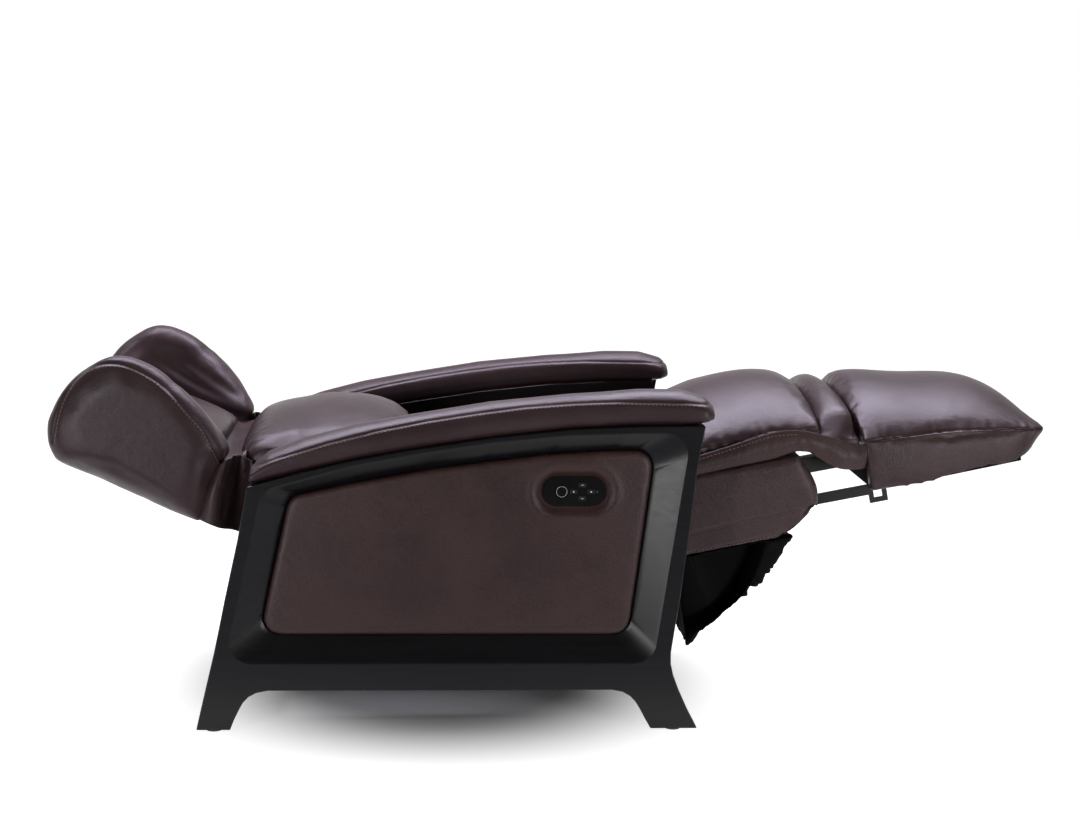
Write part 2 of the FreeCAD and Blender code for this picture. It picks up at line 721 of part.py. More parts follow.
seat_weldment = join("seat_weldment", right_pieces + left_pieces + tubes + [tilt_arm, tilt_eye, tilt_stub])
node("seat_frame", cut("seat_frame", seat_weldment, right_holes + left_holes), SEAT)

# Zigzag springs, drawn as straight wires on top of the tubes
SPRING_COUNT = 7
SPRING_LEVEL = S.tube_level + S.tube_radius + S.spring_radius
spring_pitch = FRONT_RAIL_INNER * 2 / (SPRING_COUNT + 1)
spring_start = -S.rear_tube_setback - S.tube_radius
wires = [rod(f"spring_{number}", "x", S.spring_radius,
             (spring_start, -FRONT_RAIL_INNER + spring_pitch * (number + 1), SPRING_LEVEL),
             S.rear_tube_setback + FRONT_TUBE + S.tube_radius * 2) for number in range(SPRING_COUNT)]
node("seat_springs", group("seat_springs", wires), SEAT)

# Hinge pins held by the seat
BACK_EYE_IN = SEAT_RAIL_INNER - S.seam_gap - S.rail_thickness
hinge_pins = pin_pair("back_pin", S.pin_radius, -S.back_hinge_setback, S.back_hinge_rise, BACK_EYE_IN,
                      SEAT_RAIL_OUTER)
hinge_pins += pin_pair("footrest_pin", S.pin_radius, S.footrest_hinge_reach, S.footrest_hinge_rise,
                       BRACKET_SPREAD, ARM_OUT)
node("seat_hinge_pins", group("seat_hinge_pins", hinge_pins), SEAT)

# Seat cushion in three sewn lengths: seat, chaise pad and the roll at its front
REAR_CUSHION_SHARES = [(-1.93, 0.90), (-1.2, 0.96), (-0.2, 0.985), (1, 1)]
CHAISE_SHARES = [(0, 1), (0.35, 1.0), (0.8, 0.985), (1, 0.90)]
ROLL_SHARES = [(0, 0.86), (0.2, 0.96), (0.55, 1.0), (0.85, 0.97), (1, 0.84)]


def cushion_section(x, crown, base):
    half = SEAT_HALF - S.cushion_side_bulge
    return soft_section(along_x(x), half, base, S.cushion_seam, crown, S.cushion_side_bulge)


seat_block = solid("seat_block", Part.makeLoft(
    [cushion_section(S.cushion_lead * share, S.cushion_crown * up, S.cushion_base)
     for share, up in REAR_CUSHION_SHARES], True, False))
back_sweep = rod("back_sweep", "y", S.back_crown + S.seam_gap * 2,
                 (-S.back_hinge_setback, -SEAT_HALF, S.back_hinge_rise), SEAT_HALF * 2)
node("seat_cushion", cut("seat_cushion", seat_block, [back_sweep]), SEAT)

chaise_start = S.cushion_lead + S.seam_gap / 2
chaise_span = S.chaise_end - chaise_start
node("chaise_pad", solid("chaise_pad", Part.makeLoft(
    [cushion_section(chaise_start + chaise_span * share, S.cushion_crown * up, S.cushion_base)
     for share, up in CHAISE_SHARES], True, False)), SEAT)

roll_start = S.chaise_end + S.seam_gap / 2
roll_span = S.roll_end - roll_start
roll_block = solid("roll_block", Part.makeLoft(
    [cushion_section(roll_start + roll_span * share, S.roll_crown * up, S.roll_lip)
     for share, up in ROLL_SHARES], True, False))
HINGE_ROOM = S.footrest_hinge_rise + PIVOT_EYE + S.seam_gap
ROOM_HALF = ARM_OUT + S.bracket_thickness
roll_notch = box("roll_notch", (roll_start - S.cut_overrun, -ROOM_HALF, ZERO), (S.roll_end + S.cut_overrun,
                                                                           ROOM_HALF, HINGE_ROOM))
node("chaise_roll", cut("chaise_roll", roll_block, [roll_notch]), SEAT)

# Leather covered seat box: a bulging front border and two side borders
BORDER_SHARES = [(0, 0), (0.62, 0.08), (1, 0.3), (0.95, 0.55), (0.45, 1)]
border_height = S.border_base + S.border_top
front_profile = [(S.border_reach + S.border_bulge * across, border_height * up - S.border_base)
                 for across, up in BORDER_SHARES]
front_points = front_profile + [(WALL_LINE, S.border_top), (WALL_LINE, -S.border_base)]
side_in = SEAT_HALF - S.border_thickness
front_block = plate("front_block", front_points, -side_in, side_in * 2)
BAR_OUTER = BRACKET_SPREAD - S.seam_gap / 2
BAR_INNER = BAR_OUTER - S.yoke_thickness
LEG_PIN_LOW = S.footrest_hinge_rise - S.leg_crank
notches = []
for side in (-1, 1):
    edges = (BAR_INNER - S.yoke_wall, ARM_OUT + S.seam_gap)
    first, last = edges if side > 0 else (-edges[1], -edges[0])
    notch_low = (WALL_LINE - S.cut_overrun, first, -S.border_base - S.cut_overrun)
    notch_high = (S.border_reach + S.border_bulge + S.cut_overrun, last, HINGE_ROOM)
    notches.append(box(f"border_notch_{side + 1}", notch_low, notch_high))
node("seat_front_border", cut("seat_front_border", front_block, notches), SEAT)
side_points = front_profile + [(S.border_start, S.border_top), (S.border_start, -S.border_base)]
side_border = plate("side_border", side_points, side_in + S.soft_gap, S.border_thickness - S.soft_gap)
node("seat_side_border_right", group("right_border", [side_border]), SEAT)
node("seat_side_border_left", group("left_border", [mirror("side_border_mirror", side_border)]), SEAT)

# Gathered dust cover below the seat box, a closed bag
COVER_SHARES = [(0, 0), (0.97, 0), (0.91, 0.08), (0.73, 0.42), (0.48, 0.66), (0.11, 0.82), (0, 0.95)]
cover_span = S.cover_reach - S.cover_start
cover_top = -(S.border_base + S.soft_gap)
cover_points = [(S.cover_start + cover_span * across, cover_top - S.cover_drop * down)
                for across, down in COVER_SHARES]
cover_half = SEAT_HALF - S.cover_inset
cover = plate("cover_bag", cover_points, -cover_half, cover_half * 2)
node("dust_cover", group("dust_cover", [cover]), SEAT)

# Back cushion: a crowned roll about the back hinge, in the back's own frame
CROWN_SHARES = [(0, 0.955), (0.16, 1), (0.4, 0.995), (0.66, 0.96), (0.86, 0.95), (1, 0.86)]


def roll_section(turn, crown):
    """A section of the back cushion in the plane that leans back by turn degrees from the normal."""
    def place(across, up):
        lean = math.radians(turn)
        return vector(-plain(up) * math.sin(lean), across, plain(up) * math.cos(lean))
    seam = crown - S.back_side_draw * 2
    return soft_section(place, BACK_HALF, S.back_core, seam, crown, S.back_side_draw)


lean_span = S.back_low_angle + S.back_high_angle
node("back_cushion", solid("back_cushion", Part.makeLoft(
    [roll_section((lean_span * share - S.back_low_angle).value, S.back_crown * up)
     for share, up in CROWN_SHARES], True, False)), BACK)

# Back frame: bars, hinge eyes, torque tube, crank plates and the lugs of the head section
BACK_BAR_OUT = BACK_HALF - S.back_bar_inset
BACK_BAR_IN = BACK_BAR_OUT - S.back_bar_width
PANEL_TOP = -(S.back_panel_depth - S.back_panel_thickness)
BACK_PANEL_HALF = SEAT_RAIL_INNER - S.seam_gap
BAR_LOW = PANEL_TOP + S.soft_gap
BAR_HIGH = BAR_LOW + S.back_bar_height
CORE_TUBE = S.back_core - S.pin_radius - S.soft_gap
CORE_TURNS = (0, 40)
CHEEK_SHARE = 0.77
CHEEK = CORE_TUBE * CHEEK_SHARE
CRANK_IN = S.nut_half_width + S.yoke_thickness + S.seam_gap
CRANK_OUT = CRANK_IN + S.bracket_thickness
HEAD_EYE = S.pin_radius + S.bracket_thickness
BACK_SWING = S.back_range / 2 + S.seat_tilt + S.back_slope


def back_side(side):
    def spans(inner, outer):
        return (inner, outer) if side > 0 else (-outer, -inner)

    def slab(name, low, high, inner, outer):
        first, last = spans(inner, outer)
        return box(f"{name}_{side + 1}", (low[0], first, low[1]), (high[0], last, high[1]))

    def across(name, radius, x, z, inner, outer):
        first, last = spans(inner, outer)
        return rod(f"{name}_{side + 1}", "y", radius, (x, first, z), last - first)

    def crank():
        first, last = spans(CRANK_IN, CRANK_IN + S.bracket_thickness)
        half = S.lug_radius / 2
        arm = box(f"crank_arm_{side + 1}", (-half, first, -S.back_crank), (half, last, ZERO))
        eye = rod(f"crank_eye_{side + 1}", "y", half, (ZERO, first, -S.back_crank), S.bracket_thickness)
        stub_first, stub_last = spans(CRANK_IN - STUB, CRANK_IN)
        stub = rod(f"crank_stub_{side + 1}", "y", S.crank_pin_radius, (ZERO, stub_first, -S.back_crank),
                   stub_last - stub_first)
        turned = join(f"crank_{side + 1}", [arm, eye, stub])
        turned.Placement = FreeCAD.Placement(FreeCAD.Vector(), FreeCAD.Rotation(FreeCAD.Vector(0, -1, 0),
                                                                               BACK_SWING.value))
        bind(turned, "Placement.Rotation.Angle", BACK_SWING)
        return turned

    head_x = -S.head_hinge_reach
    pieces = [
        slab("back_bar", (head_x - HEAD_EYE, BAR_LOW), (S.lug_radius, BAR_HIGH), BACK_BAR_IN, BACK_BAR_OUT),
        across("hinge_boss", S.lug_radius, ZERO, ZERO, BACK_BAR_IN, BACK_EYE_IN + S.rail_thickness),
        slab("core_cheek", (-CHEEK, ZERO), (S.lug_radius / 2, CHEEK), BACK_BAR_IN, BACK_BAR_OUT),
        slab("core_stem", (-S.lug_radius / 2, ZERO), (S.lug_radius / 2, CORE_TUBE),
             BACK_BAR_IN, BACK_BAR_OUT),
        slab("head_lug", (head_x - HEAD_EYE, BAR_LOW), (head_x + HEAD_EYE, S.head_hinge_rise),
             BACK_BAR_IN, BACK_BAR_OUT),
        across("head_lug_eye", HEAD_EYE, head_x, S.head_hinge_rise, BACK_BAR_IN, BACK_BAR_OUT),
        crank(),
    ]
    holes = [
        across("back_eye_bore", S.pin_radius + S.running_gap, ZERO, ZERO, BACK_EYE_IN,
               BACK_EYE_IN + S.rail_thickness),
        across("head_eye_bore", S.pin_radius, head_x, S.head_hinge_rise, BACK_BAR_IN, BACK_BAR_OUT),
    ]
    return pieces, holes


core_tubes = [rod("torque_tube", "y", S.tube_radius, (ZERO, -BACK_BAR_IN, ZERO), BACK_BAR_IN * 2)]
for turn in CORE_TURNS:
    spot = (-CORE_TUBE * math.sin(math.radians(turn)), -BACK_BAR_IN, CORE_TUBE * math.cos(math.radians(turn)))
    core_tubes.append(rod(f"core_tube_{turn}", "y", S.pin_radius, spot, BACK_BAR_IN * 2))
right_pieces, right_holes = back_side(-1)
left_pieces, left_holes = back_side(1)
back_weldment = join("back_weldment", right_pieces + left_pieces + core_tubes)
node("back_frame", cut("back_frame", back_weldment, right_holes + left_holes), BACK)
node("back_panel", group("back_panel", [
    box("back_panel_board", (-S.back_panel_end, -BACK_PANEL_HALF, -S.back_panel_depth),
        (-S.lug_radius / 2, BACK_PANEL_HALF, PANEL_TOP))]), BACK)
head_arm_out = BACK_BAR_IN - S.seam_gap
head_arm_in = head_arm_out - S.head_bar_width
head_pins = pin_pair("head_pin", S.pin_radius, -S.head_hinge_reach, S.head_hinge_rise,
                     head_arm_in, BACK_BAR_OUT)
node("head_hinge_pins", group("head_hinge_pins", head_pins), BACK)

# Head section, in its own frame: steel frame, cushion, rear panel and the two large wings
HEAD_ARM_SHARE = 0.76
HEAD_RIB_SHARES = (0.2, 0.7)
head_half = S.head_bar_width / 2
head_panel_top = -(S.wing_drop - S.head_panel_thickness)
head_arms = []
head_bores = []
for side in (-1, 1):
    first, last = (head_arm_in, head_arm_out) if side > 0 else (-head_arm_out, -head_arm_in)
    head_arms.append(box(f"head_arm_{side + 1}", (-S.head_reach * HEAD_ARM_SHARE, first, -head_half),
                         (ZERO, last, head_half)))
    head_arms.append(rod(f"head_arm_eye_{side + 1}", "y", HEAD_EYE, (ZERO, first, ZERO), S.head_bar_width))
    head_bores.append(rod(f"head_arm_bore_{side + 1}", "y", S.pin_radius + S.running_gap, (ZERO, first, ZERO),
                          S.head_bar_width))
    low, high = (CRANK_IN, CRANK_OUT) if side > 0 else (-CRANK_OUT, -CRANK_IN)
    arm = box(f"head_crank_arm_{side + 1}", (-head_half, low, -S.head_crank), (head_half, high, ZERO))
    eye = rod(f"head_crank_eye_{side + 1}", "y", S.pin_radius, (ZERO, low, -S.head_crank),
              S.bracket_thickness)
    stub = rod(f"head_crank_stub_{side + 1}", "y", S.crank_pin_radius,
               (ZERO, low - STUB if side > 0 else high, -S.head_crank), STUB)
    crank = join(f"head_crank_{side + 1}", [arm, eye, stub])
    crank.Placement = FreeCAD.Placement(FreeCAD.Vector(), FreeCAD.Rotation(FreeCAD.Vector(0, -1, 0),
                                                                          S.head_range.value / 2))
    bind(crank, "Placement.Rotation.Angle", S.head_range / 2)
    head_arms.append(crank)
for number, share in enumerate(HEAD_RIB_SHARES):
    x = -S.head_reach * share
    head_arms.append(box(f"head_rib_{number}", (x - head_half, -head_arm_in, head_panel_top + S.soft_gap),
                         (x + head_half, head_arm_in, head_half)))
head_arms.append(rod("head_torque_tube", "y", S.pin_radius, (ZERO, -head_arm_in, ZERO), head_arm_in * 2))
node("head_frame", cut("head_frame", join("head_weldment", head_arms), head_bores), HEAD)

WING_SHARES = [(0.0608, -0.422), (0.0668, 0.4026), (0.2278, 0.688), (0.4587, 0.909), (0.653, 1),
               (0.7959, 0.961), (0.9265, 0.649), (1, 0.12), (0.978, -0.182), (0.89, -0.396)]
WING_DEPTH_SHARES = [(0, 0.93), (0.3, 1), (0.72, 1), (1, 0.86)]
WING_CENTRE_SHARES = (0.55, 0.3)
head_inner = OUTER_FACE - S.head_inset - S.wing_thickness


def wing_section(depth, scale):
    """The wing's outline at a depth share from its inner to its outer face, drawn in by scale."""
    centre_x, centre_z = WING_CENTRE_SHARES
    y = -(head_inner + S.wing_thickness * depth)
    spots = []
    for across, up in WING_SHARES:
        x = -S.head_reach * (centre_x + (across - centre_x) * scale)
        z = S.wing_rise * (centre_z + (up - centre_z) * scale)
        spots.append(vector(x, y, z))
    a, b, c, d, e, f, g, h, i, j = spots
    return Part.Wire([
        Part.LineSegment(a, b).toShape(),
        Part.Arc(b, c, d).toShape(),
        Part.Arc(d, e, f).toShape(),
        Part.Arc(f, g, h).toShape(),
        Part.Arc(h, i, j).toShape(),
        Part.LineSegment(j, a).toShape(),
    ])


wing_sections = [wing_section(depth, scale) for depth, scale in WING_DEPTH_SHARES]
wing = solid("wing", Part.makeLoft(wing_sections, True, True))
node("wing_right", group("wing_right", [wing]), HEAD)
node("wing_left", group("wing_left", [mirror("wing_mirror", wing)]), HEAD)

HEAD_CUSHION_SHARES = [(0.08, 0.72), (0.2, 0.95), (0.5, 1), (0.8, 0.9), (0.93, 0.6)]
HEAD_SEAM_SHARE = 0.5
head_cushion_half = head_inner - S.soft_gap
node("head_cushion", solid("head_cushion", Part.makeLoft(
    [soft_section(along_x(-S.head_reach * share), head_cushion_half, head_half + S.soft_gap,
                  S.head_cushion_crown * up * HEAD_SEAM_SHARE, S.head_cushion_crown * up,
                  S.cushion_side_bulge)
     for share, up in HEAD_CUSHION_SHARES], True, False)), HEAD)
HEAD_PANEL_SHARES = (0.075, 0.88)
node("head_panel", group("head_panel", [
    box("head_panel_board", (-S.head_reach * HEAD_PANEL_SHARES[1], -head_cushion_half, -S.wing_drop),
        (-S.head_reach * HEAD_PANEL_SHARES[0], head_cushion_half, head_panel_top))]), HEAD)

# Footrest, in its own frame: board, stuffed pad with a hollow for the linkage, and the hinge brackets
PAD_SHARES = [(0.075, 0.93, 1, 1, 1), (0.16, 1, 0.95, 1, 1), (0.48, 0.81, 0.6, 1, 1), (0.8, 0.6, 0.1, 1, 1),
              (0.93, 0.38, -0.2, 0.93, 0.985), (1, 0.1, -0.36, 0.5, 0.94)]
pad_sections = []
for along, crown, seam, drop, width in PAD_SHARES:
    half = (SEAT_HALF - S.cushion_side_bulge) * width
    pad_sections.append(soft_section(along_x(S.footrest_reach * along), half, -S.footrest_underside * drop,
                                     S.footrest_seam * seam, S.footrest_crown * crown, S.cushion_side_bulge))
pad_block = solid("pad_block", Part.makeLoft(pad_sections, True, False))
board_half = SEAT_HALF - S.border_thickness
board_top = -S.footrest_underside + S.board_thickness
board = box("footrest_board", (S.board_start, -board_half, -S.footrest_underside),
            (S.board_end, board_half, board_top))
node("footrest_board", group("board_group", [board]), LEG)
pad_floor = -S.footrest_underside - S.cut_overrun
board_room = box("board_room", (S.board_start - S.soft_gap, -board_half - S.soft_gap, pad_floor),
                 (S.board_end + S.soft_gap, board_half + S.soft_gap, board_top + S.soft_gap))
link_room = box("link_room", (-S.cut_overrun, -ROOM_HALF, pad_floor),
                (S.board_start, ROOM_HALF, PIVOT_EYE + S.seam_gap))
node("footrest_pad", cut("footrest_pad", pad_block, [board_room, link_room]), LEG)

# The crank pin stands half the range before the lowest point, seen from the level seat
LEG_SWING = S.leg_range / 2 + S.seat_tilt - S.footrest_slope
pin_x = sine(LEG_SWING) * S.leg_crank
pin_z = -cosine(LEG_SWING) * S.leg_crank
pin_eye = S.crank_pin_radius + S.bracket_thickness
tongue_end = (S.board_start + S.board_end) / 2
tongue_low = -S.footrest_underside - S.bracket_thickness
EYE_CORNER_SHARE = 0.7
PIN_CORNER_SHARE = 0.9
eye_corner = PIVOT_EYE * EYE_CORNER_SHARE
pin_corner = pin_eye * EYE_CORNER_SHARE
bracket_points = [
    (-eye_corner, eye_corner), (eye_corner, eye_corner), (S.board_start, -S.footrest_underside),
    (tongue_end, -S.footrest_underside), (tongue_end, tongue_low), (pin_x + pin_eye, pin_z - pin_corner),
    (pin_x - pin_corner, pin_z - pin_eye * PIN_CORNER_SHARE), (-eye_corner, -eye_corner)]
bracket_plate = plate("bracket_plate", bracket_points, BRACKET_SPREAD, S.bracket_thickness)
bracket_eye = rod("bracket_eye", "y", PIVOT_EYE, (ZERO, -BRACKET_OUTER, ZERO), S.bracket_thickness)
bracket_bore = rod("bracket_bore", "y", S.pin_radius + S.running_gap, (ZERO, -BRACKET_OUTER, ZERO),
                   S.bracket_thickness)
bracket_stub = rod("bracket_stub", "y", S.crank_pin_radius, (pin_x, -BRACKET_SPREAD, pin_z),
                   S.yoke_thickness + S.seam_gap)
bracket = cut("bracket", join("bracket_blank", [bracket_plate, bracket_eye, bracket_stub]), [bracket_bore])
node("footrest_brackets", group("footrest_brackets", [bracket, mirror("bracket_mirror", bracket)]), LEG)


# Drives: a motor with its gearcase, a screw rail, and a sliding nut whose slotted cheeks push a crank pin
def drive(prefix, frame, case_start, rail_end, y, level, half_height, motor_radius, motor_length, hanger):
    """The case starts the rail; the motor is on the case's far side. hanger is a block or None."""
    forward = rail_end.value > case_start.value
    case_end = case_start + S.gearcase_length if forward else case_start - S.gearcase_length
    low, high = (case_start, case_end) if forward else (case_end, case_start)
    case = box(prefix + "_case", (low, y - S.nut_half_width, level - half_height),
               (high, y + S.nut_half_width, level + half_height))
    can_start = low - motor_length if forward else high
    can = rod(prefix + "_can", "x", motor_radius, (can_start, y, level), motor_length)
    node(prefix + "_motor", join(prefix + "_motor", [case, can] + hanger), frame)
    first, last = (case_end, rail_end) if forward else (rail_end, case_end)
    screw = rod(prefix + "_screw", "x", S.drive_radius, (first, y, level), last - first)
    node(prefix + "_rail", group(prefix + "_rail", [screw]), frame)


def slotted_cheek(name, x, first, last, pin_high, pin_low):
    """A plate with an upright slot that gives the crank pin room to rise and fall."""
    room = S.crank_pin_radius + S.yoke_gap
    rim = room + S.yoke_wall
    plate_box = box(name + "_plate", (x - rim, first, pin_low - rim), (x + rim, last, pin_high + rim))
    slot = box(name + "_slot", (x - room, first, pin_low - room), (x + room, last, pin_high + room))
    return cut(name, plate_box, [slot])


def nut(prefix, x, y, level, half_height):
    block = box(prefix + "_block", (x - S.nut_length / 2, y - S.nut_half_width, level - half_height),
                (x + S.nut_length / 2, y + S.nut_half_width, level + half_height))
    bore = rod(prefix + "_nut_bore", "x", S.drive_radius + S.running_gap, (x - S.nut_length / 2, y, level),
               S.nut_length)
    return cut(prefix + "_nut", block, [bore])


def yoke(prefix, frame, x, y, level, pin_high, pin_low, half_height, sides):
    pieces = [nut(prefix, x, y, level, half_height)]
    for side in sides:
        inner, outer = S.nut_half_width, S.nut_half_width + S.yoke_thickness
        first, last = (y + inner, y + outer) if side > 0 else (y - outer, y - inner)
        pieces.append(slotted_cheek(f"{prefix}_cheek_{side + 1}", x, first, last, pin_high, pin_low))
    node(prefix + "_yoke", join(prefix + "_yoke", pieces), frame)


swing = S.back_range / 2
back_pin_x = sine(swing) * S.back_crank - S.back_hinge_setback
back_pin_high = S.back_hinge_rise - cosine(swing) * S.back_crank
back_pin_low = S.back_hinge_rise - S.back_crank
back_level = (back_pin_high + back_pin_low) / 2
rail_run = sine(swing) * S.back_crank * 2 + S.nut_length
back_case = back_pin_x + S.nut_length * 2 + S.gearcase_length
tube_low = S.tube_level - S.tube_radius - S.soft_gap
back_hanger = box("back_hanger", (-S.rear_tube_setback - S.tube_radius, -S.nut_half_width, back_level),
                  (-S.rear_tube_setback + S.tube_radius, S.nut_half_width, tube_low))
drive("back", SEAT, back_case, back_pin_x - rail_run, ZERO, back_level, S.nut_half_height, S.motor_radius,
      S.back_motor_length, [back_hanger])
yoke("back", SEAT, back_pin_x, ZERO, back_level, back_pin_high, back_pin_low, S.nut_half_height, (-1, 1))

tilt_case = MID_BAR_X
drive("tilt", None, tilt_case, TILT_PIN_X + S.nut_length, S.tilt_offset, TILT_PIN_Z, S.nut_half_height,
      S.nut_half_height - S.soft_gap, S.motor_length, [tilt_bar])
tilt_drop = S.tilt_crank * (1 - math.cos(math.radians(S.seat_tilt.value)))
yoke("tilt", None, TILT_PIN_X, S.tilt_offset, TILT_PIN_Z, TILT_PIN_Z, TILT_PIN_Z - tilt_drop,
     S.nut_half_height, (1,))

HEAD_DRIVE_SHARE = 0.6
head_swing = S.head_range / 2
head_pin_x = sine(head_swing) * S.head_crank - S.head_hinge_reach
head_pin_high = S.head_hinge_rise - cosine(head_swing) * S.head_crank
head_pin_low = S.head_hinge_rise - S.head_crank
head_level = (head_pin_high + head_pin_low) / 2
head_half_height = S.nut_half_height * HEAD_DRIVE_SHARE
head_case = head_pin_x + S.nut_length + S.gearcase_length
drive("head", BACK, head_case, head_pin_x - S.nut_length, ZERO, head_level,
      head_half_height, head_half_height, S.head_motor_length, [])
yoke("head", BACK, head_pin_x, ZERO, head_level, head_pin_high, head_pin_low, head_half_height, (-1, 1))

leg_swing = S.leg_range / 2
leg_pin_x = S.footrest_hinge_reach + sine(leg_swing) * S.leg_crank
leg_pin_high = S.footrest_hinge_rise - cosine(leg_swing) * S.leg_crank
leg_level = (leg_pin_high + LEG_PIN_LOW) / 2
leg_nut_x = FRONT_TUBE - S.tube_radius - S.nut_length
leg_case = leg_nut_x - sine(leg_swing) * S.leg_crank * 2 - S.nut_length - S.gearcase_length
leg_hanger = box("leg_hanger", (S.mid_tube_reach - S.tube_radius, -S.nut_half_width, leg_level),
                 (S.mid_tube_reach - S.tube_radius + S.hanger_length, S.nut_half_width, tube_low))
drive("leg", SEAT, leg_case, leg_nut_x + S.nut_length, ZERO, leg_level, S.nut_half_height, S.motor_radius,
      S.motor_length, [leg_hanger])
leg_pieces = [nut("leg", leg_nut_x, ZERO, leg_level, S.nut_half_height)]
for side in (-1, 1):
    first, last = (BAR_INNER, BAR_OUTER) if side > 0 else (-BAR_OUTER, -BAR_INNER)
    leg_pieces.append(slotted_cheek(f"leg_cheek_{side + 1}", leg_pin_x, first, last,
                                    leg_pin_high, LEG_PIN_LOW))
    rim = S.crank_pin_radius + S.yoke_gap + S.yoke_wall / 2
    leg_pieces.append(box(f"push_bar_{side + 1}", (leg_nut_x, first, leg_level - S.drive_radius),
                          (leg_pin_x - rim, last, leg_level + S.drive_radius)))
    start = S.nut_half_width if side > 0 else -BAR_INNER
    leg_pieces.append(rod(f"push_tube_{side + 1}", "y", S.drive_radius, (leg_nut_x, start, leg_level),
                          BAR_INNER - S.nut_half_width))
node("leg_yoke", join("leg_yoke", leg_pieces), SEAT)

# Control panel: a glossy face with a hollow back, five buttons that travel, a lens and a circuit board
ROUND_BUTTON_SHARE = -0.2
PAD_SHARE = 0.13
LENS_SHARE = 0.37
KEY_SPREAD_SHARE = 0.14
KEY_RISE_SHARE = 0.22
face_y = -CONTROL_FACE
face_depth = S.control_proud * 2
pad_x = CONTROL_X + S.control_length * PAD_SHARE
KEYS = {
    "up_button": (pad_x, CONTROL_LEVEL + S.control_height * KEY_RISE_SHARE),
    "down_button": (pad_x, CONTROL_LEVEL - S.control_height * KEY_RISE_SHARE),
    "preset_left_button": (pad_x - S.control_length * KEY_SPREAD_SHARE, CONTROL_LEVEL),
    "preset_right_button": (pad_x + S.control_length * KEY_SPREAD_SHARE, CONTROL_LEVEL),
}
button_start = face_y - S.button_travel
button_length = face_depth + S.button_travel * 2


def key(name, x, z, first, depth, room):
    """A key block, or its hole when room is more than zero."""
    half_x = S.key_length / 2 + room
    half_z = S.key_height / 2 + room
    return box(name, (x - half_x, first, z - half_z), (x + half_x, first + depth, z + half_z))


round_place = (CONTROL_X + S.control_length * ROUND_BUTTON_SHARE, button_start, CONTROL_LEVEL)
lens_place = (CONTROL_X + S.control_length * LENS_SHARE, face_y, CONTROL_LEVEL)
holes = [key(label + "_hole", x, z, face_y, face_depth, S.button_gap) for label, (x, z) in KEYS.items()]
holes.append(rod("round_hole", "y", S.button_radius + S.button_gap,
                 (round_place[0], face_y, CONTROL_LEVEL), face_depth))
holes.append(rod("lens_hole", "y", S.lens_radius, lens_place, face_depth))
hollow_height = S.control_height - S.control_rim * 2
hollow_length = S.control_length - S.control_rim * 2
holes.append(stadium("control_hollow", hollow_length, hollow_height, face_y + face_depth,
                     S.control_thickness - face_depth))
shell = stadium("control_shell", S.control_length - S.soft_gap * 2, S.control_height - S.soft_gap * 2, face_y,
                S.control_thickness)
node("control_panel", cut("control_panel", shell, holes))
node("round_button", rod("round_button", "y", S.button_radius, round_place, button_length))
for label, (x, z) in KEYS.items():
    node(label, key(label, x, z, button_start, button_length, ZERO))
node("indicator_lens", rod("indicator_lens", "y", S.lens_radius, lens_place, face_depth))
board_y = face_y + S.control_thickness - S.circuit_thickness
node("control_board", stadium("control_board", hollow_length - S.soft_gap * 2, hollow_height - S.soft_gap * 2,
                              board_y, S.circuit_thickness))

# Build, check every object and write one file for each sub-part
doc.recompute()
for item in doc.Objects:
    if "Invalid" in item.State or "Error" in item.State:
        raise RuntimeError(f"{item.Name} failed: {item.State}")
for label, item in NODES.items():
    if item.Shape.isNull() or not item.Shape.isValid() or not item.Shape.Solids:
        raise RuntimeError(f"{label} has no valid solid")
os.makedirs("parts", exist_ok=True)
for label, item in NODES.items():
    item.Shape.exportStep(f"parts/{label}.step")
print(len(NODES), "sub-parts written")
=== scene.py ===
# A power recliner of dark leather and black wood, laid back with its legrest out
import json
import math

import bpy
import numpy as np
from mathutils import Matrix, Vector
from mathutils.bvhtree import BVHTree

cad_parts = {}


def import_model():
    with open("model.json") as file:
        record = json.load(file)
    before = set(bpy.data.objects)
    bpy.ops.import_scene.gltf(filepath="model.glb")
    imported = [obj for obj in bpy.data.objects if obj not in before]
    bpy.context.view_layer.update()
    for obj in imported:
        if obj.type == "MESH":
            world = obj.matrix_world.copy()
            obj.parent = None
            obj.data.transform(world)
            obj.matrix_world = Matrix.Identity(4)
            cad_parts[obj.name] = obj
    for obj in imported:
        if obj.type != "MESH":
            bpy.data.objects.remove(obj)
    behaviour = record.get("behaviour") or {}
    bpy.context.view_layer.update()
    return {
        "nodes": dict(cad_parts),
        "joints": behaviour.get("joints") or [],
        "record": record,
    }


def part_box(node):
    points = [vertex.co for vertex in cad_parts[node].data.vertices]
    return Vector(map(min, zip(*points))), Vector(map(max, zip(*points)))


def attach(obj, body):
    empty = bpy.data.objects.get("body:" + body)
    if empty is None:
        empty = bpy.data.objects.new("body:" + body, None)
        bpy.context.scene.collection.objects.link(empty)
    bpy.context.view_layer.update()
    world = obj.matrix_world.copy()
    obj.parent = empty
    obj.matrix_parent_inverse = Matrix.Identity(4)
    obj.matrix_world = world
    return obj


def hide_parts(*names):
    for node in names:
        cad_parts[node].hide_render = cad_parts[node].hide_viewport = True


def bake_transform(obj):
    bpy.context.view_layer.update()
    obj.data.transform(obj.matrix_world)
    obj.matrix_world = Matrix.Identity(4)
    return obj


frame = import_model()
NODES = frame["nodes"]
SCENE = bpy.context.scene
MM = 0.001
SIDES = ((-1, "right"), (1, "left"))


# Joint places and the slopes of the tilted groups, read from the frame
JOINTS = {joint["name"]: joint for joint in frame["joints"]}


